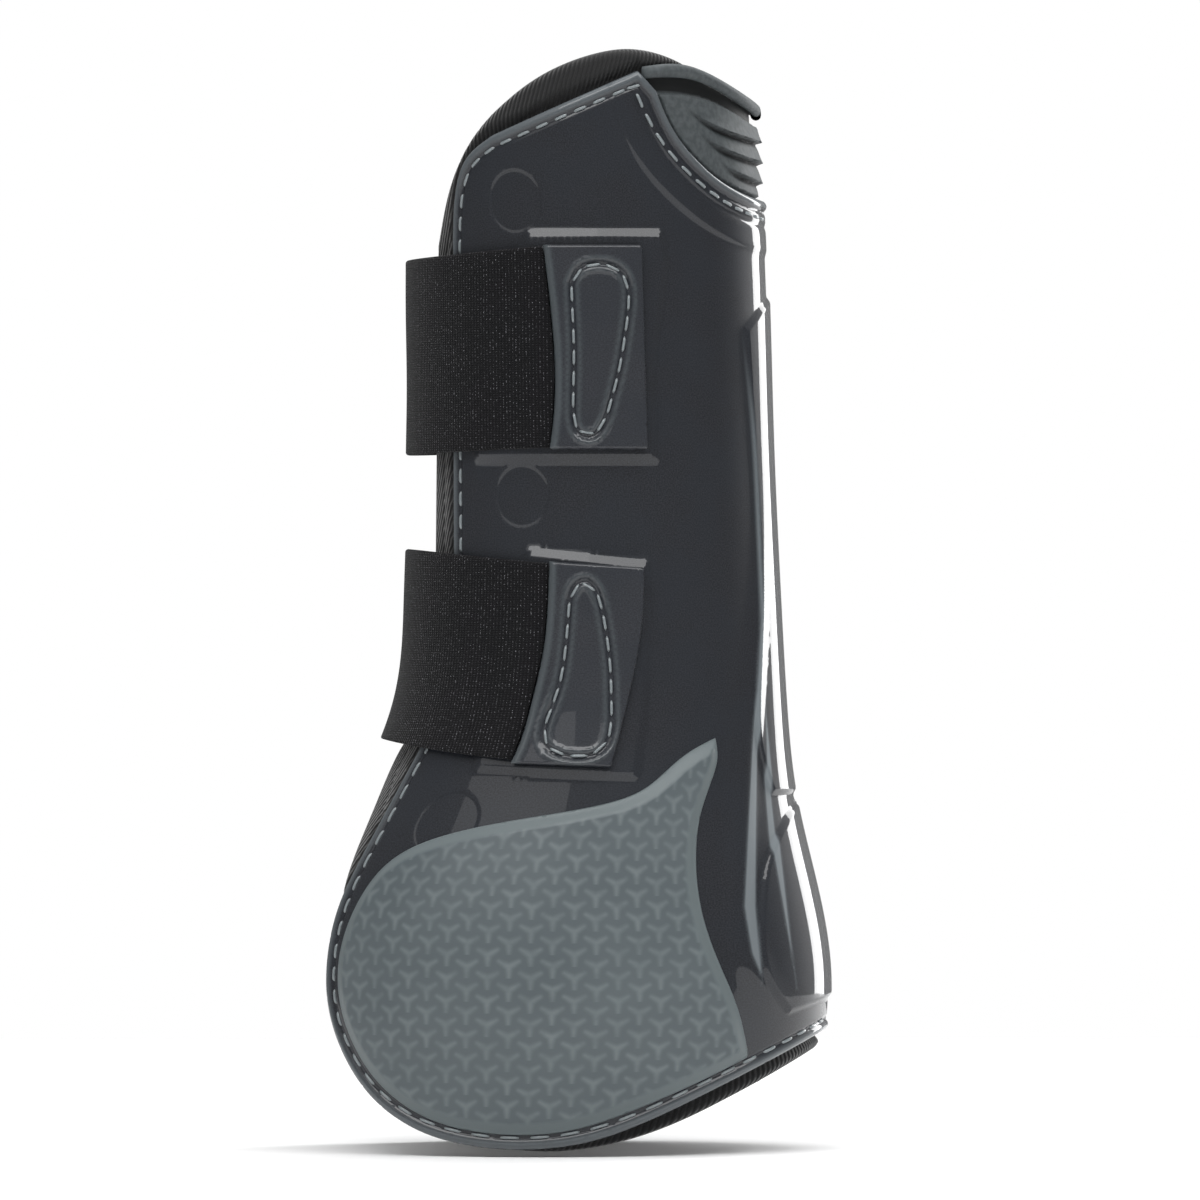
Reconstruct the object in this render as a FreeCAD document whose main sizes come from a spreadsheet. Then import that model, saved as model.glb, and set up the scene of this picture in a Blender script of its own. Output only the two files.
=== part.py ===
"""Open-front tendon boot for a horse's foreleg.

The boot is a stack of C-shaped walls nested round the leg: a clear moulded shell outside, a
backing fabric, a foam lining and the tape that binds its edge. Every horizontal cut through a wall
is part of an ellipse, so each face of a wall is a loft through ellipses, and each piece is the
space between two lofts, trimmed to an outline drawn in side view.

Frame: +Z up the leg, +X to the back of the leg, -Y to the outer side of the leg, where the straps
close. The origin is on the leg's axis, level with the boot's lowest point. Millimetres.
"""

import FreeCAD, Part  # noqa: E401  FreeCAD has to load first
import math
import os

doc = FreeCAD.newDocument("tendon_boot")
V = FreeCAD.Vector

# ---------------------------------------------------------------- driving dimensions
# Each station is a horizontal cut of the shell's outer face: its height, how far it reaches to
# the front and to the back of the leg's axis, and half its width.
STATIONS = [
    (-8.0, 69.0, 55.0, 48.5),
    (20.0, 72.0, 60.3, 53.0),
    (45.0, 72.5, 62.0, 54.5),
    (68.0, 68.0, 58.2, 51.5),
    (90.0, 56.5, 53.2, 46.0),
    (112.0, 47.2, 50.8, 41.0),
    (140.0, 43.8, 49.2, 38.5),
    (180.0, 43.3, 47.4, 38.0),
    (215.0, 43.3, 46.4, 38.3),
    (250.0, 44.0, 44.9, 39.5),
    (288.0, 46.0, 42.8, 41.5),
]
# Each level is a distance from the shell's outer face, positive away from the leg.
LEVELS = {
    "level_binding_inner": -9.0,
    "level_lining_inner": -8.6,
    "level_lining_outer": -3.05,
    "level_fabric_inner": -3.0,
    "level_flange_middle": -2.7,
    "level_fabric_outer": -2.45,
    "level_shell_inner": -2.4,
    "level_plate_middle": -1.8,
    "level_vent_plate": -1.2,
    "level_louvre_top": -0.3,
    "level_shell_outer": 0.0,
    "level_pad_inner": 0.05,
    "level_seat_top": 0.8,
    "level_loop_inner": 0.85,
    "level_elastic_inner": 1.1,
    "level_loop_top": 1.4,
    "level_hook_inner": 1.7,
    "level_hook_outer": 2.3,
    "level_elastic_outer": 2.6,
    "level_tab_outer": 3.9,
}
SIZES = {
    "prism_half_depth": 80.0,
    "binding_width": 7.0,
    "stitch_radius": 0.3,
    "stitch_length": 4.2,
    "stitch_pitch": 5.8,
    "stitch_lift": 0.38,
}

sheet = doc.addObject("Spreadsheet::Sheet", "Dimensions")
row = 0


def put(name, value):
    """One named cell of the sheet."""
    global row
    row += 1
    sheet.set(f"A{row}", name)
    sheet.set(f"B{row}", str(value))
    sheet.setAlias(f"B{row}", name)


for number, (height, front, back, half) in enumerate(STATIONS, 1):
    put(f"height_{number}", height)
    put(f"front_{number}", front)
    put(f"back_{number}", back)
    put(f"half_{number}", half)
for table in (LEVELS, SIZES):
    for name, value in table.items():
        put(name, value)
doc.recompute()


def cell(name):
    return float(getattr(sheet, name))


# ---------------------------------------------------------------- walls
lofts = {}
rings = {}


def oval_loft(level):
    """A closed solid whose side is the shell's outer face moved out by a level."""
    if level in lofts:
        return lofts[level]
    ovals = []
    for number in range(1, len(STATIONS) + 1):
        oval = doc.addObject("Part::Ellipse", f"oval_{level[6:]}_{number}")
        reach = f"(Dimensions.front_{number} + Dimensions.back_{number}) / 2"
        middle = f"(Dimensions.back_{number} - Dimensions.front_{number}) / 2"
        oval.setExpression("MajorRadius", f"{reach} + Dimensions.{level}")
        oval.setExpression("MinorRadius", f"Dimensions.half_{number} + Dimensions.{level}")
        oval.setExpression("Placement.Base.x", middle)
        oval.setExpression("Placement.Base.z", f"Dimensions.height_{number}")
        oval.setExpression("Placement.Rotation.Angle", "180 deg")
        ovals.append(oval)
    loft = doc.addObject("Part::Loft", f"loft_{level[6:]}")
    loft.Sections = ovals
    loft.Solid = True
    loft.Ruled = False
    loft.MaxDegree = 3
    lofts[level] = loft
    return loft


def outline(name, runs):
    """A closed sketch in side view, made of runs of points: "line" joins them straight and
    "curve" passes a spline through them. Each run starts where the one before ends."""
    sketch = doc.addObject("Sketcher::SketchObject", f"outline_{name}")
    sketch.Placement = FreeCAD.Placement(V(0, 0, 0), FreeCAD.Rotation(V(1, 0, 0), 90))
    first = last = runs[0][1][0]
    for kind, points in runs:
        chain = points if points[0] == last else [last, *points]
        flat = [V(x, z, 0) for x, z in chain]
        if kind == "curve":
            spline = Part.BSplineCurve()
            spline.interpolate(flat)
            sketch.addGeometry(spline)
        else:
            for start, end in zip(flat, flat[1:]):
                sketch.addGeometry(Part.LineSegment(start, end))
        last = chain[-1]
    if last != first:
        sketch.addGeometry(Part.LineSegment(V(*last, 0), V(*first, 0)))
    return sketch


def prism(name, base, side="both"):
    """An outline pushed across the boot: to the outer side, to the inner side, or to both."""
    block = doc.addObject("Part::Extrusion", f"prism_{name}_{side}")
    block.Base = base
    block.DirMode = "Custom"
    block.Dir = V(0, 1, 0)
    block.Solid = True
    if side in ("both", "inner"):
        block.setExpression("LengthFwd", "Dimensions.prism_half_depth")
    if side in ("both", "outer"):
        block.setExpression("LengthRev", "Dimensions.prism_half_depth")
    if side == "outer":
        block.LengthFwd = 0
    if side == "inner":
        block.LengthRev = 0
    return block


def boolean(kind, name, base, tool):
    result = doc.addObject(f"Part::{kind}", name)
    result.Base = base
    result.Tool = tool
    return result


def fused(name, pieces):
    result = doc.addObject("Part::MultiFuse", name)
    result.Shapes = pieces
    result.Refine = True
    return result


def wall(name, inner, outer, block):
    """The wall between two levels, trimmed to a prism."""
    if (inner, outer) not in rings:
        ring_name = f"ring_{inner[6:]}_{outer[6:]}"
        rings[inner, outer] = boolean("Cut", ring_name, oval_loft(outer), oval_loft(inner))
    return boolean("Common", f"{name}_wall", rings[inner, outer], block)


parts = {}


def keep(name, piece):
    """Marks a document object as a sub-part and gives it the label that names its file."""
    piece.Label = name
    parts[name] = piece
    return piece


# ---------------------------------------------------------------- outlines in side view
BEHIND = 75.0  # beyond the boot's back, where an outline closes in free air

# The shell: slanted top edge, upright front edge, lobe round the fetlock, rising bottom edge,
# then up the back to the notch that the vent fills.
VENT_EDGE = [
    (18.1, 268.3),
    (20.3, 262.7),
    (23.9, 256.3),
    (29.3, 250.2),
    (34.6, 245.9),
    (41.1, 242.7),
    (46.0, 241.4),
]
shell_outline = outline(
    "shell",
    [
        ("line", [(13.6, 273.4), (-24.0, 257.2)]),
        ("curve", [(-24.0, 257.2), (-30.4, 251.7), (-33.2, 243.0), (-33.8, 232.0)]),
        ("line", [(-33.8, 232.0), (-33.5, 122.0)]),
        ("curve", [(-33.5, 122.0), (-36.5, 112.5), (-41.8, 102.5)]),
        ("line", [(-41.8, 102.5), (-58.0, 72.5)]),
        (
            "curve",
            [
                (-58.0, 72.5),
                (-63.4, 60.0),
                (-66.0, 44.0),
                (-64.0, 30.0),
                (-56.0, 15.3),
                (-43.0, 5.6),
                (-27.0, 1.5),
                (-12.0, 1.0),
                (5.0, 3.9),
                (30.0, 14.3),
                (62.0, 30.0),
            ],
        ),
        ("line", [(62.0, 30.0), (BEHIND, 36.4), (BEHIND, 241.0), (46.0, 241.4)]),
        ("curve", VENT_EDGE[::-1]),
        ("line", [(18.1, 268.3), (13.6, 273.4)]),
    ],
)

# The lining stands proud of the shell along the top, the front and the bottom.
lining_outline = outline(
    "lining",
    [
        (
            "curve",
            [
                (44.0, 261.0),
                (33.8, 271.2),
                (24.0, 276.8),
                (13.0, 279.0),
                (2.0, 277.6),
                (-11.0, 272.9),
                (-23.0, 265.0),
                (-31.5, 255.5),
                (-36.6, 244.0),
                (-38.9, 230.0),
            ],
        ),
        ("line", [(-38.9, 230.0), (-39.3, 120.0)]),
        (
            "curve",
            [
                (-39.3, 120.0),
                (-41.8, 112.0),
                (-47.0, 103.5),
                (-55.0, 87.0),
                (-62.0, 71.0),
                (-66.0, 56.0),
                (-66.4, 42.0),
                (-63.0, 28.0),
                (-55.0, 14.8),
                (-42.0, 5.4),
                (-26.0, 1.2),
                (-8.0, 0.0),
                (10.0, 2.5),
                (32.0, 10.2),
                (58.0, 23.0),
            ],
        ),
        ("line", [(58.0, 23.0), (BEHIND, 31.0), (BEHIND, 255.0), (44.0, 261.0)]),
    ],
)

# The foam's own edge, inside the binding.
core_outline = outline(
    "core",
    [
        (
            "curve",
            [
                (39.5, 255.5),
                (30.0, 265.0),
                (21.6, 270.1),
                (13.0, 272.0),
                (3.3, 270.8),
                (-7.8, 266.7),
                (-18.2, 259.8),
                (-25.4, 251.6),
                (-29.8, 241.8),
                (-31.9, 229.8),
            ],
        ),
        ("line", [(-31.9, 229.8), (-32.3, 120.3)]),
        (
            "curve",
            [
                (-32.3, 120.3),
                (-35.2, 109.5),
                (-40.8, 100.3),
                (-48.7, 83.9),
                (-55.4, 68.6),
                (-59.1, 54.9),
                (-59.5, 43.0),
                (-56.5, 30.9),
                (-49.8, 19.9),
                (-39.0, 12.0),
                (-24.9, 8.2),
                (-8.0, 7.0),
                (8.7, 9.4),
                (29.4, 16.7),
                (55.0, 29.4),
            ],
        ),
        ("line", [(55.0, 29.4), (BEHIND, 37.0), (BEHIND, 248.5), (39.5, 255.5)]),
    ],
)

pad_outline = outline(
    "pad",
    [
        (
            "curve",
            [
                (33.0, 104.6),
                (25.0, 100.1),
                (18.2, 94.2),
                (10.3, 89.6),
                (-12.2, 84.9),
                (-33.8, 80.5),
                (-49.0, 73.6),
                (-58.0, 62.0),
                (-62.4, 48.0),
                (-61.2, 33.5),
                (-53.5, 18.8),
                (-41.0, 9.2),
                (-26.0, 5.2),
                (-10.0, 4.9),
                (5.0, 8.2),
                (30.0, 18.4),
                (41.4, 24.0),
            ],
        ),
        (
            "curve",
            [
                (41.4, 24.0),
                (38.7, 36.0),
                (34.8, 45.7),
                (30.4, 57.5),
                (28.2, 70.0),
                (29.4, 86.0),
                (33.4, 98.5),
                (33.0, 104.6),
            ],
        ),
    ],
)

# Raised ridges down the back of the shell, over the tendons and over the fetlock.
tendon_ridge_outline = outline(
    "tendon_ridge",
    [
        ("line", [(BEHIND, 215.8), (46.0, 215.8), (40.6, 208.5)]),
        ("curve", [(40.6, 208.5), (43.6, 165.0), (44.8, 135.0), (45.6, 108.0), (49.4, 91.0)]),
        ("line", [(49.4, 91.0), (BEHIND, 91.0)]),
    ],
)
fetlock_ridge_outline = outline(
    "fetlock_ridge",
    [
        ("line", [(BEHIND, 88.0), (54.0, 88.0)]),
        ("curve", [(54.0, 88.0), (47.6, 76.0), (45.0, 61.0), (47.0, 45.0), (54.0, 35.5)]),
        ("line", [(54.0, 35.5), (62.0, 37.6), (BEHIND, 42.0)]),
    ],
)

# The vent at the top of the back, its thin flange under the shell's edge, and its three louvres.
vent_outline = outline(
    "vent",
    [
        ("curve", [(18.1, 268.3), (27.4, 267.6), (36.0, 265.2), (44.0, 260.6)]),
        ("line", [(44.0, 260.6), (BEHIND, 258.0), (BEHIND, 241.0), (46.0, 241.4)]),
        ("curve", VENT_EDGE[::-1]),
    ],
)
FLANGE_EDGE = [(46.0, 235.4), (38.0, 238.0), (29.5, 243.4), (21.5, 251.5), (13.5, 265.0)]
flange_outline = outline(
    "flange",
    [
        ("curve", [(14.5, 272.6), (26.0, 272.8), (36.0, 268.6), (44.0, 263.6)]),
        ("line", [(44.0, 263.6), (BEHIND, 261.0), (BEHIND, 235.0), (46.0, 235.4)]),
        ("curve", FLANGE_EDGE),
        ("line", [(13.5, 265.0), (14.5, 272.6)]),
    ],
)

# The backing fabric ends where the shell is sewn, just inside its edge, and at the vent's flange.
HEM_LINE = [
    (11.0, 269.3), (-22.8, 254.6), (-28.0, 250.0), (-30.6, 242.5), (-31.2, 232.0), (-30.9, 122.5),
    (-34.0, 113.8), (-39.4, 103.6), (-55.4, 73.6), (-60.9, 59.2), (-63.3, 44.0), (-61.6, 31.2),
    (-54.2, 17.6), (-41.8, 8.1), (-26.6, 4.1), (-12.0, 3.6), (4.2, 6.5), (29.0, 16.8), (60.0, 31.9),
]
fabric_outline = outline(
    "fabric",
    [
        ("line", [*HEM_LINE, (BEHIND, 39.3), (BEHIND, 235.4), (46.0, 235.4)]),
        ("curve", FLANGE_EDGE),
    ],
)
rim_outline = outline(
    "rim",
    [
        ("curve", [(14.4, 274.4), (25.0, 275.2), (34.6, 271.7), (43.2, 266.8), (50.0, 262.6)]),
        ("line", [(50.0, 262.6), (50.0, 259.8)]),
        ("curve", [(50.0, 259.8), (43.2, 263.8), (34.6, 268.6), (26.0, 271.6), (15.2, 271.6)]),
    ],
)
LOUVRES = [
    [(24.8, 266.1), (32.5, 259.8), (40.0, 256.9), (50.0, 254.6), (50.0, 258.0), (38.0, 260.8)],
    [(28.4, 259.4), (34.4, 254.5), (41.0, 251.6), (50.0, 249.4), (50.0, 252.6), (39.0, 255.4)],
    [(34.3, 251.4), (38.6, 248.1), (43.0, 246.0), (50.0, 244.4), (50.0, 247.4), (41.0, 249.6)],
]

# The strap closures on the outer side. The hinge line of each tab is its edge nearest the front.
UPPER_SEAM = [(-6.0, 229.3), (-6.0, 177.6)]
LOWER_SEAM = [(-5.6, 149.2), (-15.2, 98.7)]
SEAM_GAP = 0.4
CLOSURES = {
    "upper": {
        "seat": [
            (-14.3, 232.2), (19.0, 232.2), (20.2, 226.0), (16.6, 198.0), (17.4, 175.4), (-25.0, 175.4),
        ],
        "tab": [(-6.0, 229.3), (13.7, 229.3), (15.2, 177.6), (-6.0, 177.6)],
        "hook": [(-3.4, 226.3), (11.4, 226.3), (12.6, 180.6), (-3.4, 180.6)],
        "loop": [(-4.4, 228.0), (16.6, 228.0), (14.6, 198.0), (14.4, 179.0), (-4.4, 179.0)],
        "elastic_outer": [(-62.0, 225.0), (-6.4, 228.6), (-6.4, 177.9), (-62.0, 176.6)],
        "elastic_inner": [(-62.0, 225.0), (-33.9, 225.0), (-33.9, 176.6), (-62.0, 176.6)],
        "anchor": [(-33.4, 225.0), (-13.0, 225.0), (-13.0, 176.6), (-33.4, 176.6)],
        "tab_stitches": [
            (-2.3, 221.5), (3.4, 223.6), (9.0, 221.5), (9.9, 214.0), (8.4, 199.0), (5.6, 187.5),
            (2.0, 181.8), (-1.8, 184.5), (-2.2, 196.0), (-2.4, 210.0), (-2.3, 221.5),
        ],
        "anchor_stitches": [
            (-29.6, 221.6), (-16.4, 221.6), (-16.4, 180.0), (-29.6, 180.0), (-29.6, 221.6),
        ],
        "seam": UPPER_SEAM,
    },
    "lower": {
        "seat": [
            (-14.0, 151.6), (15.0, 148.2), (15.4, 140.0), (14.6, 110.0), (12.6, 95.0), (-26.0, 97.0),
        ],
        "tab": [(-5.6, 149.2), (14.4, 147.7), (13.6, 130.0), (10.4, 113.5), (6.3, 97.3), (-15.2, 98.7)],
        "hook": [(-3.2, 146.4), (11.9, 145.2), (10.6, 126.0), (4.3, 100.2), (-11.9, 101.4)],
        "loop": [(-4.2, 147.0), (12.6, 146.0), (11.6, 122.0), (6.8, 98.6), (-12.6, 99.6)],
        "elastic_outer": [(-62.0, 153.2), (-6.0, 149.0), (-15.6, 98.9), (-31.5, 101.0), (-62.0, 105.6)],
        "elastic_inner": [(-62.0, 153.2), (-33.9, 153.2), (-33.9, 104.0), (-62.0, 105.6)],
        "anchor": [(-33.4, 153.2), (-13.0, 153.2), (-13.0, 102.8), (-33.4, 104.0)],
        "tab_stitches": [
            (-2.8, 140.0), (0.5, 142.6), (3.0, 139.0), (4.9, 128.0), (5.4, 114.0), (4.4, 103.6),
            (0.5, 100.9), (-5.0, 101.6), (-8.2, 104.6), (-5.0, 115.0), (-3.4, 127.0), (-2.8, 140.0),
        ],
        "anchor_stitches": [
            (-29.6, 149.8), (-16.4, 149.8), (-16.4, 106.4), (-29.6, 107.2), (-29.6, 149.8),
        ],
        "seam": LOWER_SEAM,
    },
}

# ---------------------------------------------------------------- shell, fabric, lining, binding
shell_prism = prism("shell", shell_outline)
base_shell = wall("shell_base", "level_shell_inner", "level_shell_outer", shell_prism)
shell_pieces = [base_shell]
for name, sketch in (("tendon", tendon_ridge_outline), ("fetlock", fetlock_ridge_outline)):
    block = prism(f"{name}_ridge", sketch)
    shell_pieces.append(wall(f"{name}_ridge", "level_vent_plate", "level_seat_top", block))
for place, shapes in CLOSURES.items():
    sketch = outline(f"seat_{place}", [("line", shapes["seat"])])
    block = prism(f"seat_{place}", sketch, "outer")
    shell_pieces.append(wall(f"seat_{place}", "level_vent_plate", "level_seat_top", block))
keep("outer_shell", fused("shell_fused", shell_pieces))

flange_prism = prism("flange", flange_outline)
fabric_prism = prism("fabric", fabric_outline)
keep(
    "backing_fabric",
    wall("fabric", "level_fabric_inner", "level_fabric_outer", fabric_prism),
)

# The open front: a gap seen from the front, narrow along the shin and wider at the fetlock.
GAP = [(-10.0, 20.0), (30.0, 16.5), (60.0, 14.5), (90.0, 10.0), (120.0, 7.2), (230.0, 7.2), (290.0, 13.0)]


def gap_block(name, margin):
    """The gap, widened by a margin on each side and pushed forward from the leg's axis."""
    sketch = doc.addObject("Sketcher::SketchObject", f"outline_{name}")
    sketch.Placement = FreeCAD.Placement(V(0, 0, 0), FreeCAD.Rotation(V(1, 1, 1), 120))
    right = [V(half + margin, z, 0) for z, half in GAP]
    left = [V(-half - margin, z, 0) for z, half in reversed(GAP)]
    corners = right + left
    for start, end in zip(corners, corners[1:] + corners[:1]):
        sketch.addGeometry(Part.LineSegment(start, end))
    block = doc.addObject("Part::Extrusion", name)
    block.Base = sketch
    block.DirMode = "Custom"
    block.Dir = V(-1, 0, 0)
    block.Solid = True
    block.setExpression("LengthFwd", "Dimensions.prism_half_depth")
    return block


gap = gap_block("gap_front", 0)
wide_gap = gap_block("gap_core", cell("binding_width"))
open_prism = boolean("Cut", "prism_lining_open", prism("lining", lining_outline), gap)
core_prism = boolean("Cut", "prism_core_open", prism("core", core_outline), wide_gap)
keep(
    "foam_lining",
    wall("lining", "level_lining_inner", "level_lining_outer", core_prism),
)
band_prism = boolean("Cut", "prism_band", open_prism, core_prism)
keep(
    "lining_binding",
    wall("binding", "level_binding_inner", "level_lining_outer", band_prism),
)

# ---------------------------------------------------------------- fetlock pads
for side, name in (("outer", "fetlock_pad_lateral"), ("inner", "fetlock_pad_medial")):
    block = prism("pad", pad_outline, side)
    keep(name, wall(name, "level_pad_inner", "level_loop_top", block))

# ---------------------------------------------------------------- vent and rim
vent_pieces = [
    wall("vent_flange", "level_fabric_inner", "level_fabric_outer", flange_prism),
    wall("vent_plate", "level_flange_middle", "level_vent_plate", prism("vent", vent_outline)),
]
for number, shape in enumerate(LOUVRES, 1):
    sketch = outline(f"louvre_{number}", [("line", shape)])
    block = prism(f"louvre_{number}", sketch)
    vent_pieces.append(wall(f"louvre_{number}", "level_plate_middle", "level_louvre_top", block))
keep("vent_louvre", fused("vent_fused", vent_pieces))
keep(
    "vent_rim",
    wall("rim", "level_shell_inner", "level_seat_top", prism("rim", rim_outline)),
)


# ---------------------------------------------------------------- places on the wall
OUTER, INNER = -1, 1


def wall_point(x, height, side, level):
    """The point of a level's face at x and a height, on the outer (-1) or inner (1) side, and
    the direction away from the leg there."""
    reach = cell("prism_half_depth")
    ray = Part.makeLine(V(x, 0, height), V(x, side * reach, height))
    place = ray.distToShape(faces[level])[1][0][1]
    away = faces[level].normalAt(*faces[level].Surface.parameter(place))
    return place, away if away.y * side > 0 else -away


def run_of_points(path):
    """A path in side view cut into steps of the stitch pitch."""
    places, spare = [], 0.0
    pitch = cell("stitch_pitch")
    for (x0, z0), (x1, z1) in zip(path, path[1:]):
        length = math.hypot(x1 - x0, z1 - z0)
        along = spare
        while along < length:
            share = along / length
            turn = ((x1 - x0) / length, (z1 - z0) / length)
            places.append((x0 + (x1 - x0) * share, z0 + (z1 - z0) * share, turn))
            along += pitch
        spare = along - length
    return places


def thread_ends(x, z, turn, side, level, half):
    """The two ends of a thread that reaches half its length to each side of a place."""
    ends = []
    for step in (-half, half):
        place, away = wall_point(x + turn[0] * step, z + turn[1] * step, side, level)
        ends.append(place + away * cell("stitch_lift"))
    return ends


def stitch(x, z, turn, side, level):
    """One thread that lies on the wall, as a small rod. Where the wall turns away from the side
    view, a step in that view is longer on the wall, so the step is cut to suit."""
    length = cell("stitch_length")
    start, end = thread_ends(x, z, turn, side, level, length / 2)
    share = length / (end - start).Length
    start, end = thread_ends(x, z, turn, side, level, share * length / 2)
    return Part.makeCylinder(cell("stitch_radius"), (end - start).Length, start, end - start)


def under_anchor(x, z, side):
    """True where a sewn strap end covers the hem on the inner side."""
    margin = cell("stitch_length")
    for shapes in CLOSURES.values():
        heights = [corner[1] for corner in shapes["anchor"]]
        if side == INNER and x < 0 and min(heights) - margin < z < max(heights) + margin:
            return True
    return False


def stitches(name, paths, level, skipped=None):
    """A group of separate stitches in one sub-part, except where skipped says so."""
    rods = []
    for path, side in paths:
        for x, z, turn in run_of_points(path):
            if not (skipped and skipped(x, z, side)):
                rods.append(stitch(x, z, turn, side, level))
    group = doc.addObject("Part::Feature", f"{name}_rods")
    group.Shape = Part.makeCompound(rods)
    return keep(name, group)


# ---------------------------------------------------------------- straps
for place, shapes in CLOSURES.items():
    blocks = {}
    for key, side in (
        ("tab", "outer"),
        ("hook", "outer"),
        ("loop", "outer"),
        ("elastic_outer", "outer"),
        ("elastic_inner", "inner"),
        ("anchor", "inner"),
    ):
        sketch = outline(f"{key}_{place}", [("line", shapes[key])])
        blocks[key] = prism(f"{key}_{place}", sketch, side)
    keep(
        f"loop_patch_{place}",
        wall(f"loop_{place}", "level_loop_inner", "level_loop_top", blocks["loop"]),
    )
    keep(
        f"hook_patch_{place}",
        wall(f"hook_{place}", "level_hook_inner", "level_hook_outer", blocks["hook"]),
    )
    keep(
        f"strap_tab_{place}",
        wall(f"tab_{place}", "level_hook_outer", "level_tab_outer", blocks["tab"]),
    )
    reach = fused(f"prism_elastic_{place}", [blocks["elastic_outer"], blocks["elastic_inner"]])
    keep(
        f"elastic_strap_{place}",
        wall(f"elastic_{place}", "level_elastic_inner", "level_elastic_outer", reach),
    )
    keep(
        f"strap_anchor_{place}",
        wall(f"anchor_{place}", "level_pad_inner", "level_loop_top", blocks["anchor"]),
    )
doc.recompute()

faces = {level: max(loft.Shape.Faces, key=lambda face: face.Area) for level, loft in lofts.items()}
vent_path = [(14.4, 264.8), (16.9, 259.8), (23.4, 250.6), (31.8, 242.9), (38.5, 238.9), (42.6, 237.4)]
hem_path = [*HEM_LINE[:-1], (54.0, 28.9)]
stitches(
    "hem_stitching",
    [(hem_path, OUTER), (hem_path, INNER)],
    "level_shell_outer",
    under_anchor,
)
stitches("vent_stitching", [(vent_path, OUTER), (vent_path, INNER)], "level_shell_outer")
for place, shapes in CLOSURES.items():
    stitches(
        f"tab_stitching_{place}",
        [(shapes["tab_stitches"], OUTER)],
        "level_tab_outer",
    )
    stitches(
        f"anchor_stitching_{place}",
        [(shapes["anchor_stitches"], INNER)],
        "level_loop_top",
    )

# ---------------------------------------------------------------- checks and files
failed = [o.Label for o in doc.Objects if {"Invalid", "Error"} & set(o.State)]
if failed:
    raise RuntimeError(f"these objects failed: {failed}")
os.makedirs("parts", exist_ok=True)
for name, piece in sorted(parts.items()):
    shape = piece.Shape
    if shape.isNull() or not shape.isValid() or not shape.Solids:
        raise RuntimeError(f"{name} has no valid solid")
    shape.exportStep(f"parts/{name}.step")
    box = shape.BoundBox
    print(
        f"{name}: {len(shape.Solids)} solid(s), {shape.Volume / 1000:.2f} cm3, "
        f"x {box.XMin:.1f} {box.XMax:.1f}, y {box.YMin:.1f} {box.YMax:.1f}, "
        f"z {box.ZMin:.1f} {box.ZMax:.1f}"
    )

# Hinge lines, for the joints: each tab turns about its seam, each strap about the line where it
# leaves the inner side of the shell.
PIVOT_X = -33.9
for place, shapes in CLOSURES.items():
    ends = [wall_point(x, z, OUTER, "level_tab_outer")[0] for x, z in shapes["seam"]]
    print(f"tab hinge {place}:", ends[0], ends[1])
    low, high = shapes["anchor"][2][1], shapes["anchor"][1][1]
    ends = [wall_point(PIVOT_X, z, INNER, "level_elastic_outer")[0] for z in (high, low)]
    print(f"strap hinge {place}:", ends[0], ends[1])
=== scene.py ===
# %% [markdown]
# # An open-front tendon boot
# The boot wraps a horse's foreleg from behind. A clear moulded shell lies over a dark textile, a
# foam lining stands proud of it all round, and two elastic straps close across the open front.
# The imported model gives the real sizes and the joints. Everything here is built around it.

# %% Load the frame
import math

import bpy
import numpy as np
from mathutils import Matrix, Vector
from mathutils.geometry import delaunay_2d_cdt


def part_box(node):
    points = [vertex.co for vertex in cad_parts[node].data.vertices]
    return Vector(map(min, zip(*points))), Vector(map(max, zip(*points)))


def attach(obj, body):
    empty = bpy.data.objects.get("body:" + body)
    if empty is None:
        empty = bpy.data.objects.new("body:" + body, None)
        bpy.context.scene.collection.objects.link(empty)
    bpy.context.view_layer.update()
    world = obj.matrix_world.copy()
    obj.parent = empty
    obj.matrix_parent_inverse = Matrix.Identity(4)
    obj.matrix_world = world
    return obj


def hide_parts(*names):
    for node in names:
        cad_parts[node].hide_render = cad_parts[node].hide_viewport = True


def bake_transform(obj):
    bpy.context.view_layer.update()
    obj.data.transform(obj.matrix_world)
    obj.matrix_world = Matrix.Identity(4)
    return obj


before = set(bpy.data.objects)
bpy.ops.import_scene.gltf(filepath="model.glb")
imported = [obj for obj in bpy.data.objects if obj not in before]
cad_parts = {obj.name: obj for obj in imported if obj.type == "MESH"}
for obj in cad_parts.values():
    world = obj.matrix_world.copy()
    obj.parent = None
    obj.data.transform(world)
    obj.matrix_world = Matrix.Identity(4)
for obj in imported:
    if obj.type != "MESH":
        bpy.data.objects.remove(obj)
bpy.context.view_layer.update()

# %% [markdown]
# ## The wall round the leg
# Every horizontal cut through the boot is part of an oval, so one table of ovals gives the whole
# wall. A cylinder that is pinched with a lattice could do this too, but with a table each layer
# is the same oval made a little smaller or larger, and layers never cross. A natural spline
# through the table gives the ovals in between.

# %% The ovals, in millimetres: height, reach to the front, reach to the back, half width
OVALS = np.array(
    [
        (-8.0, 69.0, 55.0, 48.5),
        (20.0, 72.0, 60.3, 53.0),
        (45.0, 72.5, 62.0, 54.5),
        (68.0, 68.0, 58.2, 51.5),
        (90.0, 56.5, 53.2, 46.0),
        (112.0, 47.2, 50.8, 41.0),
        (140.0, 43.8, 49.2, 38.5),
        (180.0, 43.3, 47.4, 38.0),
        (215.0, 43.3, 46.4, 38.3),
        (250.0, 44.0, 44.9, 39.5),
        (288.0, 46.0, 42.8, 41.5),
    ]
)


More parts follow.
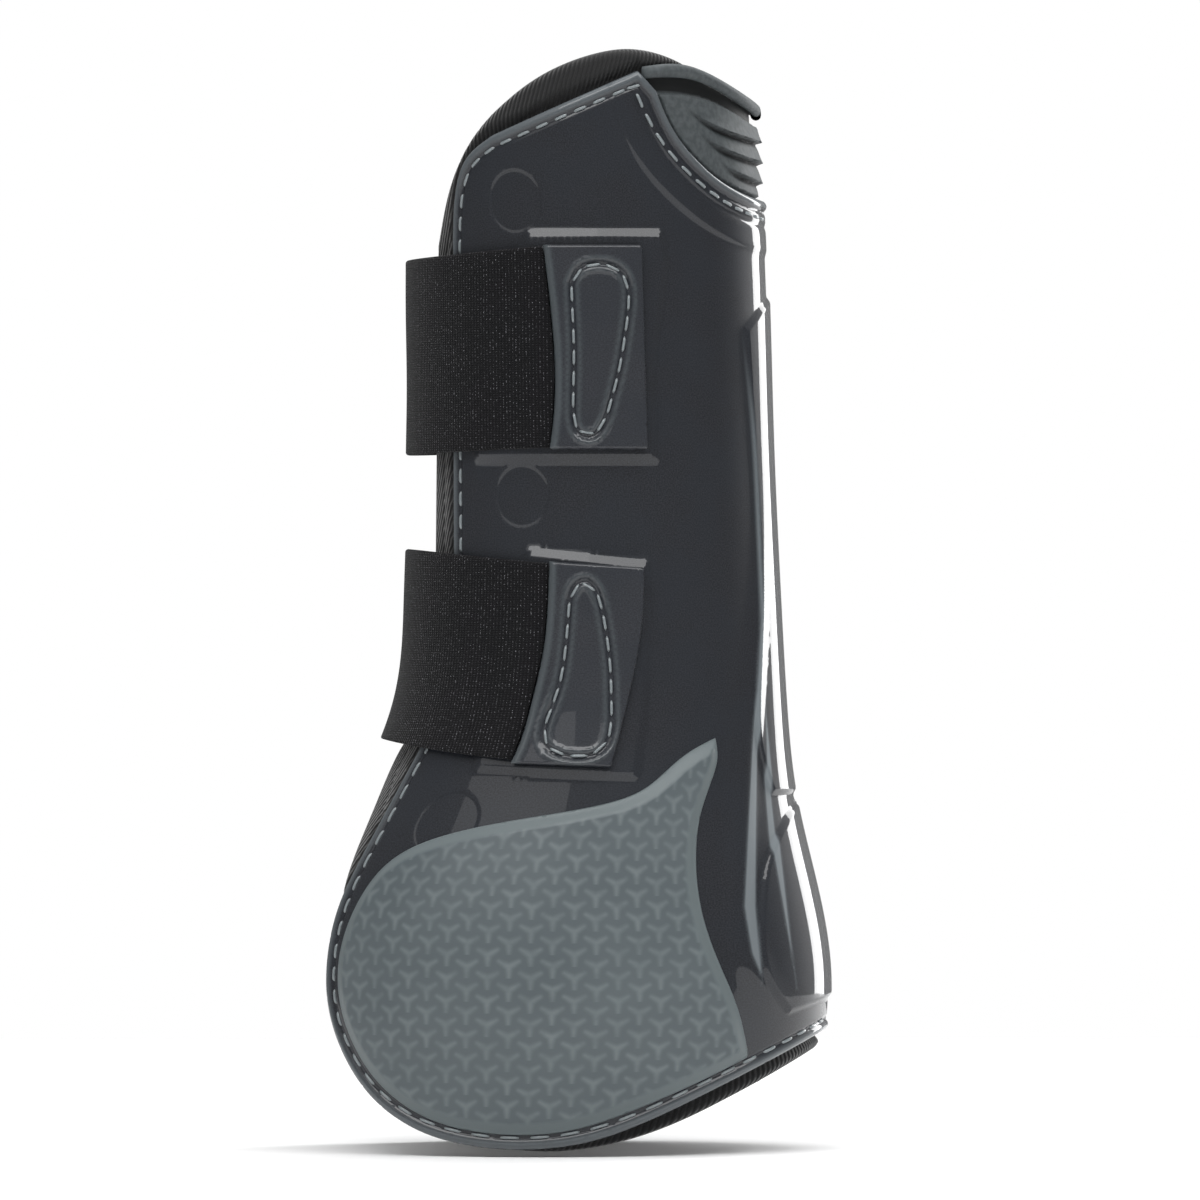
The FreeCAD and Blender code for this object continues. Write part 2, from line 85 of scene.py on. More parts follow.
def natural_curve(knots, values):
    """A function that passes a natural cubic spline through rows of values."""
    gaps = np.diff(knots)[:, None]
    slopes = np.diff(values, axis=0) / gaps
    count = len(knots)
    matrix = np.eye(count)
    right = np.zeros_like(values)
    for i in range(1, count - 1):
        before, after = gaps[i - 1, 0], gaps[i, 0]
        matrix[i, i - 1 : i + 2] = before, 2 * (before + after), after
        right[i] = 6 * (slopes[i] - slopes[i - 1])
    bends = np.linalg.solve(matrix, right)

    def at(place):
        i = np.clip(np.searchsorted(knots, place) - 1, 0, count - 2)
        gap = gaps[i]
        left = (place - knots[i])[:, None]
        rest = gap - left
        curved = (bends[i] * rest**3 + bends[i + 1] * left**3) / (6 * gap)
        low = (values[i] / gap - bends[i] * gap / 6) * rest
        high = (values[i + 1] / gap - bends[i + 1] * gap / 6) * left
        return curved + low + high

    return at


oval_at = natural_curve(OVALS[:, 0], OVALS[:, 1:])
print("oval at mid height:", oval_at(np.array([140.0]))[0])

# %% [markdown]
# ## Unrolling the wall
# Panels are easier to cut flat. The wall is unrolled to a sheet: s runs round the leg from the
# back, positive on the outer side, and z runs up. A level is a distance out from the shell's face.

# %% How far each layer's faces lie from the shell's face, negative towards the leg
LINING = (-8.7, -3.3)
BACKING = (-3.0, -2.5)
SHELL_BACK = -2.4
VENT_BACK, VENT_PLATE = -3.0, -2.3
PAD_BACK, PAD_EDGE = -0.4, 0.35
LOOP_TAPE = (1.2, 1.5)
HOOK_TAPE = (1.8, 2.3)
TAB_BACK, TAB_FACE = 2.35, 3.5
print("lining:", LINING[1] - LINING[0], "mm thick")

# %% From side view to the flat sheet, and from the sheet to the wall
TURN = 48.0  # millimetres of sheet for one radian round the leg
MM = 0.001
STEP = 1.2  # millimetres between the points of a path


def on_wall(s, z, level):
    """Points in metres for places on the sheet."""
    front, back, half = oval_at(z).T
    angle = s / TURN
    x = (back - front) / 2 + ((back + front) / 2 + level) * np.cos(angle)
    y = -(half + level) * np.sin(angle)
    return np.stack([x, y, z], axis=1) * MM


def unrolled(path):
    """A path in side view, as places on the sheet of the outer side."""
    path = np.asarray(path, float)
    front, back, _ = oval_at(path[:, 1]).T
    cosine = (path[:, 0] - (back - front) / 2) / ((back + front) / 2)
    s = TURN * np.arccos(np.clip(cosine, -1, 1))
    return np.stack([s, path[:, 1]], axis=1)


def stepped(path, step):
    """The same path with points a step apart."""
    path = np.asarray(path, float)
    lengths = np.linalg.norm(np.diff(path, axis=0), axis=1)
    along = np.concatenate([[0], np.cumsum(lengths)])
    count = max(2, int(round(along[-1] / step)) + 1)
    places = np.linspace(0, along[-1], count)
    return np.stack([np.interp(places, along, column) for column in path.T], axis=1)


def curved(points, step=STEP):
    """A smooth path through points."""
    points = np.asarray(points, float)
    lengths = np.linalg.norm(np.diff(points, axis=0), axis=1)
    along = np.concatenate([[0], np.cumsum(np.sqrt(lengths))])
    smooth = natural_curve(along, points)(np.linspace(0, along[-1], 40 * len(points)))
    return stepped(smooth, step)


def joined(*runs):
    """One path from runs, each a curve (more than two points) or a straight line."""
    paths = [curved(run) if len(run) > 2 else stepped(run, STEP) for run in runs]
    return np.concatenate([path[:-1] for path in paths] + [paths[-1][-1:]])


def round_both_sides(path):
    """A path of the outer side from the back to the back, closed over the inner side."""
    outer = unrolled(path)
    outer = outer[outer[:, 0] > 0.8]
    ends = [np.array([[0.0, outer[i, 1]]]) for i in (0, -1)]
    inner = outer[::-1] * [-1, 1]
    return np.concatenate([ends[0], outer, ends[1], inner])


print("back of the boot, half way up:", on_wall(np.array([0.0]), np.array([140.0]), 0.0)[0])

# %% [markdown]
# ## Measuring on the sheet
# Raised edges, grooves and bevels all depend on how far a place lies from some line. One distance
# function and a few blend shapes describe them. Displacing a dense mesh by such a height field
# gives crisp moulded edges that a bevel modifier can't make on a curved sheet.

# %% Distances, and the shapes that heights are made of
REACH = 18.0  # farther away than this, a distance no longer matters
STRIP_SIZE = 300  # places that are measured together


def in_strips(path, s, z, reach):
    """Places in strips of nearly equal height, each with the path's segments near that height."""
    low_end = np.minimum(path[:-1, 1], path[1:, 1]) - reach
    high_end = np.maximum(path[:-1, 1], path[1:, 1]) + reach
    order = np.argsort(z)
    for part in np.array_split(order, max(1, len(order) // STRIP_SIZE)):
        near = (low_end <= z[part[-1]]) & (high_end >= z[part[0]])
        if near.any():
            place = np.stack([s[part], z[part]], axis=1)[:, None]
            yield part, place, path[:-1][near], path[1:][near]


def gap_to(path, s, z, closed=False):
    """Distance from places to a path, at most REACH."""
    if closed:
        path = np.concatenate([path, path[:1]])
    gaps = np.full(len(s), REACH)
    for part, place, start, end in in_strips(path, s, z, REACH):
        run = end - start
        square = np.maximum((run**2).sum(axis=1), 1e-9)
        share = np.clip(((place - start) * run).sum(axis=2) / square, 0, 1)
        miss = place - start - share[..., None] * run
        gaps[part] = np.minimum(REACH, np.sqrt((miss**2).sum(axis=2).min(axis=1)))
    return gaps


def inside(path, s, z):
    """True for places inside a closed path."""
    odd = np.zeros(len(s), bool)
    loop = np.concatenate([path, path[:1]])
    for part, place, start, end in in_strips(loop, s, z, 0.0):
        rise = np.where(end[:, 1] == start[:, 1], 1.0, end[:, 1] - start[:, 1])
        crosses = (start[:, 1] > place[..., 1]) != (end[:, 1] > place[..., 1])
        at = start[:, 0] + (place[..., 1] - start[:, 1]) * (end[:, 0] - start[:, 0]) / rise
        odd[part] = (crosses & (place[..., 0] < at)).sum(axis=1) % 2 == 1
    return odd


def depth_in(path, s, z):
    """Distance inside a closed path, negative outside it."""
    return np.where(inside(path, s, z), 1, -1) * gap_to(path, s, z, closed=True)


def ramp(value, start, end):
    """0 before start, 1 after end, smooth between."""
    share = np.clip((value - start) / (end - start), 0, 1)
    return share * share * (3 - 2 * share)


def hump(value, centre, width):
    """1 at a centre, fading over a width each way."""
    return np.exp(-(((value - centre) / width) ** 2))


def rounded(edge, radius):
    """How far a rounded edge drops at a distance from the edge."""
    inner = np.clip(radius - edge, 0, radius)
    return np.sqrt(radius**2 - inner**2) - radius


print("a 1 mm round drops", -rounded(np.array([0.0, 0.5, 1.0]), 1.0), "mm at 0, 0.5 and 1 mm")

# %% [markdown]
# ## Cutting a panel
# Each layer is a panel: an outline on the sheet, filled with triangles, then lifted on to the
# wall with one height for its outer face and one for its inner face. A Delaunay fill keeps the
# outline exact and lets rings of points follow the edges where the shape changes fastest. The
# normals come from the height function itself, so that glossy plastic shows no facets.

# %% Points that fill an outline
CREASE_STEP = 0.9
CREASE_LINES = (0, 0.6, -0.6, 1.2, -1.2)
ROW_SHARE = 0.87  # rows of a triangular grid lie closer together than its columns
CLEARANCE = 0.28  # the least gap between a place and the outline
CELL = 0.3  # one place is kept in each cell of this size


def turning(loop):
    """Twice the area of a closed loop, negative if it runs clockwise."""
    after = np.roll(loop, -1, axis=0)
    return np.sum(loop[:, 0] * after[:, 1] - after[:, 0] * loop[:, 1])


def inset(loop, distance):
    """A closed loop moved inward."""
    run = np.roll(loop, -1, axis=0) - np.roll(loop, 1, axis=0)
    run /= np.linalg.norm(run, axis=1)[:, None]
    inward = np.stack([-run[:, 1], run[:, 0]], axis=1) * np.sign(turning(loop))
    return loop + inward * distance


def beside(path, shift):
    """An open path moved sideways, to its left as it runs."""
    run = np.gradient(path, axis=0)
    run /= np.linalg.norm(run, axis=1)[:, None] + 1e-9
    return path + np.stack([-run[:, 1], run[:, 0]], axis=1) * shift


def filling(loop, grid, rings, creases):
    """Places inside a loop: rings along its edge, lines beside its creases, and a grid."""
    sets = [inset(loop, ring) for ring in rings]
    for crease in creases:
        path = stepped(crease, CREASE_STEP)
        sets += [beside(path, shift) for shift in CREASE_LINES]
    low, high = loop.min(axis=0), loop.max(axis=0)
    columns = np.arange(low[0], high[0], grid)
    rows = np.arange(low[1], high[1], grid * ROW_SHARE)
    s, z = np.meshgrid(columns, rows)
    s = s + (np.arange(len(rows)) % 2)[:, None] * grid / 2
    sets.append(np.stack([s.ravel(), z.ravel()], axis=1))
    points = np.concatenate(sets)
    points = points[inside(loop, *points.T)]
    points = points[gap_to(loop, *points.T, closed=True) > CLEARANCE]
    cells = np.floor(points / CELL).astype(int)
    return points[np.sort(np.unique(cells, axis=0, return_index=True)[1])]


# %% Normals from a height function, and a mesh from points
SLIGHT = 0.06  # a short way along the sheet, to see how the height changes


def face_normals(s, z, height):
    """Directions away from the leg of the surface that a height function makes."""
    here = on_wall(s, z, height(s, z))
    ahead = on_wall(s + SLIGHT, z, height(s + SLIGHT, z))
    above = on_wall(s, z + SLIGHT, height(s, z + SLIGHT))
    normal = np.cross(above - here, ahead - here)
    return normal / np.linalg.norm(normal, axis=1)[:, None]


def built(name, points, faces, normals=None, marks=None):
    """A smooth mesh object, with optional normals and named marks on its points."""
    mesh = bpy.data.meshes.new(name)
    mesh.from_pydata(points.tolist(), [], faces)
    mesh.shade_smooth()
    for mark, values in (marks or {}).items():
        kind = "FLOAT_VECTOR" if values.ndim == 2 else "FLOAT"
        layer = mesh.attributes.new(mark, kind, "POINT")
        layer.data.foreach_set("vector" if values.ndim == 2 else "value", values.ravel())
    if normals is not None:
        mesh.normals_split_custom_set_from_vertices(normals.tolist())
    piece = bpy.data.objects.new(name, mesh)
    bpy.context.scene.collection.objects.link(piece)
    return piece


# %% A closed panel from an outline and two heights
RINGS = (0.4, 0.9, 1.5, 2.3)
OUTWARD_AT_RIM, INWARD_AT_RIM = 0.5, 0.3  # how much of a face's normal is left at its rim


def filled(loop, grid, rings, creases):
    """An outline's fill: its places, its triangles and the places along its rim."""
    flat = np.concatenate([loop, filling(loop, grid, rings, creases)])
    edge = list(range(len(loop)))
    made = delaunay_2d_cdt(flat.tolist(), [], [edge], 1, 1e-5)
    new_index = {old: new for new, olds in enumerate(made[3]) for old in olds}
    return np.array(made[0]), made[2], [new_index[i] for i in edge]


def closed_faces(triangles, rim, count):
    """The fill as the outer face, again as the inner face, and a wall between their rims."""
    faces = [list(face)[::-1] for face in triangles]
    faces += [[i + count for i in face] for face in triangles]
    for a, b in zip(rim, rim[1:] + rim[:1]):
        faces.append([a, b, b + count, a + count])
    return faces


def panel_normals(loop, rim, s, z, top, bottom):
    """Normals of both faces, turned aside along the rim so that the edge looks rounded."""
    outward, inward = face_normals(s, z, top), -face_normals(s, z, bottom)
    aside = on_wall(*inset(loop, -SLIGHT).T, 0) - on_wall(*loop.T, 0)
    aside /= np.linalg.norm(aside, axis=1)[:, None]
    outward[rim] = OUTWARD_AT_RIM * outward[rim] + aside
    inward[rim] = INWARD_AT_RIM * inward[rim] + aside
    normals = np.concatenate([outward, inward])
    return normals / np.linalg.norm(normals, axis=1)[:, None]


def panel(name, loop, top, bottom, grid=1.8, rings=RINGS, creases=(), tone_and_painted_light=None):
    """A closed panel between two height functions. The last argument gives each place a share of a
    second colour: the lighter plastic of hems, beads and pad bevels, painted highlights beside the
    spine, and painted shade in the vent."""
    loop = stepped(np.concatenate([loop, loop[:1]]), STEP)[:-1]
    if turning(loop) < 0:
        loop = loop[::-1]
    places, triangles, rim = filled(loop, grid, rings, creases)
    s, z = places.T
    points = np.concatenate([on_wall(s, z, top(s, z)), on_wall(s, z, bottom(s, z))])
    faces = closed_faces(triangles, rim, len(places))
    shade = tone_and_painted_light(s, z) if tone_and_painted_light else np.zeros(len(places))
    marks = {
        "sheet": np.concatenate([np.stack([s, z, 0 * s], axis=1)] * 2),
        "tone_and_painted_light": np.concatenate([shade, shade]),
    }
    piece = built(name, points, faces, panel_normals(loop, rim, s, z, top, bottom), marks)
    print(f"{name}: {len(faces)} faces")
    return piece


# %% What every finished piece needs
def finished(piece, material, slot, *nodes):
    """Gives a piece its finish and hides the imported parts that it stands in for."""
    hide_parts(*nodes)
    piece.data.materials.append(material)


def placed(piece, body, material, slot, *nodes):
    """Finishes a piece and fixes it to its body."""
    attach(piece, body)
    finished(piece, material, slot, *nodes)


# %% [markdown]
# ## Finishes
# Each finish is a small node tree on a Principled shader. The helper below adds a node and sets
# its inputs, so a tree reads as a list of steps. Patterns use the sheet's own millimetres, stored
# on every point, so a weave has nearly its true size and follows the wall.

# %% Helpers for node trees
def srgb(red, green, blue):
    """A screen colour as the linear one that a shader takes."""
    linear = []
    for part in (red, green, blue):
        linear.append(((part / 255 + 0.055) / 1.055) ** 2.4 if part > 10 else part / 3294)
    return (*linear, 1.0)


def scaled(colour, factor):
    """A colour made darker or lighter."""
    return [part * factor for part in colour[:3]] + [1]


class Tree:
    """A material's nodes, with short ways to add and join them."""

    def __init__(self, name):
        self.material = bpy.data.materials.new(name)
        self.material.use_nodes = True
        self.nodes = self.material.node_tree.nodes
        self.links = self.material.node_tree.links
        self.shader = self.nodes["Principled BSDF"]

    def fill(self, socket, value):
        if isinstance(value, bpy.types.NodeSocket):
            self.links.new(value, socket)
        else:
            socket.default_value = value

    def add(self, kind, inputs=(), output=0, **settings):
        node = self.nodes.new(kind)
        for key, value in settings.items():
            setattr(node, key, value)
        for key, value in dict(inputs).items():
            self.fill(node.inputs[key], value)
        return node.outputs[output]

    def math(self, operation, *values):
        return self.add("ShaderNodeMath", dict(enumerate(values)), operation=operation)

    def mark(self, name, output=0):
        return self.add("ShaderNodeAttribute", attribute_name=name, output=output)

    def split(self, sheet):
        parts = self.nodes.new("ShaderNodeSeparateXYZ")
        self.links.new(sheet, parts.inputs[0])
        return parts.outputs[0], parts.outputs[1]

    def mix(self, share, low, high):
        inputs = {0: share, 6: low, 7: high}
        return self.add("ShaderNodeMix", inputs, output=2, data_type="RGBA")

    def noise(self, scale, where, detail=2.0):
        inputs = {"Vector": where, "Scale": scale, "Detail": detail}
        return self.add("ShaderNodeTexNoise", inputs)

    def between(self, value, low, high, out_low=0.0, out_high=1.0):
        inputs = {0: value, 1: low, 2: high, 3: out_low, 4: out_high}
        return self.add("ShaderNodeMapRange", inputs, interpolation_type="SMOOTHSTEP")

    def bump(self, height, strength, distance):
        inputs = {"Height": height, "Strength": strength, "Distance": distance}
        self.set(Normal=self.add("ShaderNodeBump", inputs))

    def set(self, **values):
        for key, value in values.items():
            self.fill(self.shader.inputs[key.replace("_", " ")], value)
        return self


# %% [markdown]
# ### Clear shell over textile
# The shell is clear plastic, and what the eye sees is the dark textile right behind it, under a
# hard gloss. A transparent shader with cloth behind it would work but is slow and noisy. A matt
# textile base under the shader's own clear coat looks the same and stays clean. Where the plastic
# is thick and has no textile behind it, along hems and beads, it turns a lighter grey. The same
# lighter grey is also painted on beside the spine as highlights and a reflection of the lamps.

# %% The shell's finish
def clear_over_textile(name, dark, light, grain):
    """Dark cloth with a given grain under a clear coat. The second mark makes it lighter: lighter
    plastic at hems and beads, and painted highlights.
    """
    tree = Tree(name)
    sheet = tree.mark("sheet", 1)
    fine = tree.noise(2.6, sheet, 3.0)
    broad = tree.noise(0.05, sheet, 2.0)
    weave = tree.between(fine, 0.3, 0.72)
    cloth = tree.mix(weave, scaled(dark, 1 - grain), scaled(dark, 1 + grain))
    cloth = tree.mix(tree.between(broad, 0.35, 0.65, 0.0, 0.35), cloth, srgb(34, 39, 46))
    # share of the lighter colour: lighter plastic at hems and beads, and painted highlights
    colour = tree.mix(tree.mark("tone_and_painted_light", 2), cloth, light)
    tree.set(Base_Color=colour, Roughness=0.55, Specular_IOR_Level=0.2)
    tree.set(Coat_Weight=0.8, Coat_Roughness=0.03, Coat_IOR=1.45)
    tree.bump(fine, 0.25, 0.0002)
    return tree.material


# The lighter colour is the hem's own plastic and also the painted highlights beside the spine
shell_finish = clear_over_textile("clear_shell", srgb(34, 36, 41), srgb(112, 119, 123), 0.42)
tab_finish = clear_over_textile("clear_tab", srgb(45, 47, 52), srgb(80, 87, 90), 0.3)
print("finishes:", shell_finish.name, tab_finish.name)

# %% [markdown]
# ### Milky pad with three-armed marks
# The pads over the fetlock are milky plastic with a pattern of small three-armed marks inside.
# The marks sit on a triangular lattice, which is two rectangular lattices laid half a cell apart.
# Folding the sheet into one cell with a wrap leaves three short arms to measure.

# %% The pad's marks and its finish
MARK_PITCH = 5.9
MARK_ARM = 2.7
MARK_TAPER = 0.16  # how fast an arm thins towards its end
PAD_STRETCH = 1.32  # the boot is wider at the pads, so a millimetre of sheet is longer there


def three_arms(tree, across, up):
    """Distance to the nearest of three arms that meet at the cell's middle."""
    nearest = None
    for degrees in (-90, 30, 150):
        way = (math.cos(math.radians(degrees)), math.sin(math.radians(degrees)))
        along = tree.math("MULTIPLY_ADD", across, way[0], tree.math("MULTIPLY", up, way[1]))
        along = tree.math("MINIMUM", tree.math("MAXIMUM", along, 0.0), MARK_ARM)
        miss_across = tree.math("MULTIPLY_ADD", along, -way[0], across)
        miss_up = tree.math("MULTIPLY_ADD", along, -way[1], up)
        square = tree.math("MULTIPLY_ADD", miss_across, miss_across,
                           tree.math("MULTIPLY", miss_up, miss_up))
        taper = tree.math("MULTIPLY_ADD", along, MARK_TAPER, tree.math("SQRT", square))
        nearest = taper if nearest is None else tree.math("MINIMUM", nearest, taper)
    return nearest


def marks_on(tree, sheet):
    """A soft mask of the three-armed marks."""
    sheet_across, sheet_up = tree.split(sheet)
    width, height = MARK_PITCH * math.sqrt(3) / 2, MARK_PITCH / 2
    real_across = tree.math("MULTIPLY", sheet_across, PAD_STRETCH)
    nearest = None
    for shift in (0, 1):
        across = tree.math("WRAP", tree.math("ADD", real_across, shift * width), width, -width)
        up = tree.math("WRAP", tree.math("ADD", sheet_up, shift * height), height, -height)
        gap = three_arms(tree, across, up)
        nearest = gap if nearest is None else tree.math("MINIMUM", nearest, gap)
    return tree.between(nearest, 0.1, 1.5, 1.0, 0.0)


def milky_pad(name):
    """Cloudy plastic with pale marks, clearer at the bevel."""
    tree = Tree(name)
    sheet = tree.mark("sheet", 1)
    mask = marks_on(tree, sheet)
    ground = tree.mix(tree.noise(0.035, sheet), srgb(76, 84, 88), srgb(91, 99, 102))
    mark = tree.mix(tree.noise(0.11, sheet), srgb(100, 108, 110), srgb(114, 122, 124))
    soft = tree.math("MULTIPLY", mask, tree.between(tree.noise(0.3, sheet), 0.2, 0.7, 0.35, 0.85))
    colour = tree.mix(tree.mark("tone_and_painted_light", 2), tree.mix(soft, ground, mark), srgb(100, 109, 111))
    tree.set(Base_Color=colour, Roughness=0.5, Specular_IOR_Level=0.25)
    tree.set(Coat_Weight=0.2, Coat_Roughness=0.3)
    tree.bump(tree.noise(0.8, sheet), 0.08, 0.0003)
    return tree.material


pad_finish = milky_pad("milky_pad")
print("finish:", pad_finish.name)

# %% [markdown]
# ### Knit, elastic, tape, rubber and thread
# The lining's knit has slanted ribs about a millimetre apart. The elastic shows columns of fine
# loops with a few pale flecks where rubber threads catch light. The rubber vent is satin with a
# faint grain, and is painted nearly black as shade in its slits and the recess round its face.
# Thread is a twisted cord, so its bump runs across it.

# %% Knit and elastic
def stripes(tree, sheet, degrees, pitch):
    """Smooth stripes across the sheet at an angle."""
    across, up = tree.split(sheet)
    turn = 2 * math.pi / pitch
    angle = math.radians(degrees)
    phase = tree.math("MULTIPLY", across, turn * math.cos(angle))
    phase = tree.math("MULTIPLY_ADD", up, turn * math.sin(angle), phase)
    return tree.math("MULTIPLY_ADD", tree.math("SINE", phase), 0.5, 0.5)


def ribbed_knit(name, dark, light):
    """Matt knit with slanted ribs."""
    tree = Tree(name)
    sheet = tree.mark("sheet", 1)
    ribs = stripes(tree, sheet, 20, 1.15)
    fuzz = tree.noise(3.0, sheet, 3.0)
    share = tree.math("MULTIPLY", ribs, tree.between(fuzz, 0.3, 0.7, 0.5, 1.0))
    tree.set(Base_Color=tree.mix(share, dark, light), Roughness=0.9, Specular_IOR_Level=0.2)
    tree.set(Sheen_Weight=0.25, Sheen_Roughness=0.6)
    tree.bump(tree.math("MULTIPLY_ADD", fuzz, 0.4, ribs), 0.6, 0.0004)
    return tree.material


def woven_elastic(name):
    """Columns of fine loops with pale flecks."""
    tree = Tree(name)
    sheet = tree.mark("sheet", 1)
    columns = stripes(tree, sheet, 0, 0.95)
    rows = stripes(tree, sheet, 90, 0.6)
    weave = tree.math("MULTIPLY", columns, rows)
    fuzz = tree.noise(1.6, sheet, 4.0)
    flecks = tree.between(tree.math("MULTIPLY", tree.noise(2.4, sheet, 1.0), columns), 0.57, 0.66)
    cloth = tree.mix(tree.math("MULTIPLY", weave, fuzz), srgb(15, 15, 17), srgb(38, 38, 40))
    tree.set(Base_Color=tree.mix(flecks, cloth, srgb(112, 112, 116)), Roughness=0.9)
    tree.set(Specular_IOR_Level=0.12, Sheen_Weight=0.08, Sheen_Roughness=0.5)
    tree.bump(tree.math("MULTIPLY_ADD", fuzz, 0.6, weave), 0.7, 0.0003)
    return tree.material


# %% Rubber and thread
def satin_rubber(name, dark, light):
    """Grained rubber, painted nearly black as shade where the second mark says so."""
    tree = Tree(name)
    sheet = tree.mark("sheet", 1)
    colour = tree.mix(tree.between(tree.noise(0.6, sheet), 0.3, 0.7), dark, light)
    # painted shade: near black in the vent's slits and in the recess round its face
    colour = tree.mix(tree.mark("tone_and_painted_light", 2), colour, srgb(24, 26, 27))
    tree.set(Base_Color=colour, Roughness=0.6, Specular_IOR_Level=0.3)
    tree.bump(tree.noise(3.0, sheet, 3.0), 0.12, 0.0002)
    return tree.material


def twisted_thread(name, colour):
    """A glossy cord with slanted strands."""
    tree = Tree(name)
    sheet = tree.mark("sheet", 1)
    twist = stripes(tree, sheet, 55, 0.7)
    shaded = tree.mix(twist, scaled(colour, 0.7), colour)
    tree.set(Base_Color=shaded, Roughness=0.35, Coat_Weight=0.6)
    tree.bump(twist, 0.25, 0.0001)
    return tree.material


# %% The fabric, rubber and thread finishes
lining_finish = ribbed_knit("slant_ribbed_knit", srgb(12, 12, 13), srgb(31, 31, 32))
backing_finish = ribbed_knit("dark_backing", srgb(22, 22, 24), srgb(44, 45, 48))
tape_finish = ribbed_knit("hook_and_loop", srgb(18, 18, 19), srgb(46, 47, 50))
elastic_finish = woven_elastic("woven_elastic")
rubber_finish = satin_rubber("vent_rubber", srgb(66, 71, 73), srgb(80, 85, 87))
thread_finish = twisted_thread("grey_thread", srgb(134, 142, 145))
for finish in (lining_finish, backing_finish, tape_finish, elastic_finish, rubber_finish,
               thread_finish):
    print(f"{finish.name}: {len(finish.node_tree.nodes)} nodes")

# %% [markdown]
# ## Outlines
# All outlines are drawn in side view, as on a paper pattern, then unrolled on to the sheet. Few
# points with a smooth curve through them keep each edge as even as a cut pattern.

# %% The outlines that several pieces share
VENT_EDGE = [(46.0, 241.4), (41.1, 242.7), (34.6, 245.9), (29.3, 250.2), (23.9, 256.3),
             (20.3, 262.7), (18.1, 268.3)]
SHELL_FRONT = [(-58.0, 72.5), (-63.4, 60.0), (-66.0, 44.0), (-64.0, 30.0), (-56.0, 15.3),
               (-43.0, 5.6), (-27.0, 1.5), (-12.0, 1.0), (5.0, 3.9), (30.0, 14.3), (62.0, 30.0)]
shell_path = joined(
    VENT_EDGE,
    [(18.1, 268.3), (13.6, 273.4)],
    [(13.6, 273.4), (-24.0, 257.2)],
    [(-24.0, 257.2), (-30.4, 251.7), (-33.2, 243.0), (-33.8, 232.0)],
    [(-33.8, 232.0), (-33.5, 122.0)],
    [(-33.5, 122.0), (-36.5, 112.5), (-41.8, 102.5)],
    [(-41.8, 102.5), (-58.0, 72.5)],
    SHELL_FRONT,
)
shell_loop = round_both_sides(shell_path)
vent_line = unrolled(curved(VENT_EDGE))
pad_loop = unrolled(joined(
    [(33.0, 104.6), (25.0, 100.1), (18.2, 94.2), (10.3, 89.6), (-12.2, 84.9), (-33.8, 80.5),
     (-49.0, 73.6), (-58.0, 62.0), (-62.4, 48.0), (-61.2, 33.5), (-53.5, 18.8), (-41.0, 9.2),
     (-26.0, 5.2), (-10.0, 4.9), (5.0, 8.2), (30.0, 18.4), (41.4, 24.0)],
    [(41.4, 24.0), (38.7, 36.0), (34.8, 45.7), (30.4, 57.5), (28.2, 70.0), (29.4, 86.0),
     (33.4, 98.5), (33.0, 104.6)],
))[:-1]
flange_loop = round_both_sides(joined(
    [(44.6, 264.0), (36.0, 268.9), (26.0, 272.6), (15.4, 272.4)],
    [(15.4, 272.4), (14.2, 266.0)],
    [(13.5, 265.0), (21.5, 251.5), (29.5, 243.4), (38.0, 238.0), (46.0, 235.4)],
))
print("shell outline:", len(shell_loop), "points")

# %% [markdown]
# ## The shell
# The moulding has a rolled hem with a sewn groove inside it, a border round the vent, two raised
# seats for the tabs, three faint round marks, and ridges down the spine. Each one is a term of
# the height function.

# %% The lines that the shell's features follow
def block_loop(corners):
    """A closed outline with straight sides, unrolled."""
    corners = [*corners, corners[0]]
    sides = [stepped(side, 2.0)[:-1] for side in zip(corners, corners[1:])]
    return unrolled(np.concatenate(sides))


seat_loops = [
    block_loop([(-14.3, 232.2), (19.0, 232.2), (20.2, 226.0), (16.6, 198.0), (17.4, 175.4),
                (-27.0, 175.4), (-25.0, 205.0)]),
    block_loop([(-14.0, 151.6), (15.0, 148.2), (15.4, 140.0), (14.6, 110.0), (12.6, 95.0),
                (-27.0, 97.0), (-24.0, 125.0)]),
]
tendon_ridge = unrolled(joined(
    [(46.6, 216.4), (40.6, 208.5)],
    [(40.6, 208.5), (43.2, 165.0), (43.6, 135.0), (43.0, 108.0), (47.4, 90.6)],
    [(47.4, 90.6), (54.0, 90.6)],
))
fetlock_ridge = unrolled(joined(
    [(56.0, 88.0), (52.6, 86.5)],
    [(52.6, 86.5), (46.6, 75.0), (44.3, 61.7), (45.4, 45.0), (51.5, 35.0)],
    [(51.5, 35.0), (63.0, 38.5)],
))
tendon_line = unrolled(curved([(44.2, 168.0), (42.8, 121.6), (39.4, 60.4), (42.0, 47.0),
                               (47.0, 38.0)]))
# Two patches beside the spine where a highlight is painted in the shell's colour
painted_highlight_patches = [
    block_loop([(44.6, 152.0), (42.8, 121.6), (39.6, 62.0), (41.6, 50.0), (44.6, 43.0),
                (43.2, 62.0), (43.6, 100.0)]),
    block_loop([(44.8, 116.0), (45.4, 95.0), (46.8, 76.5), (52.9, 41.0), (49.0, 75.0),
                (46.8, 95.0)]),
]
# A thin line down the side of the spine where a reflection is painted
painted_reflection_line = unrolled(curved([(39.5, 211.7), (41.7, 190.7), (43.3, 165.0), (43.9, 139.5),
                               (43.4, 119.0), (41.6, 85.0)]))
round_marks = unrolled([(-17.9, 240.6), (-16.1, 165.9), (-35.3, 83.2)])


def mirrored(path):
    """A closed loop from a path of the outer side that starts and ends at the back."""
    path = np.concatenate([[[0, path[0, 1]]], path, [[0, path[-1, 1]]]])
    return np.concatenate([path, path[::-1] * [-1, 1]])


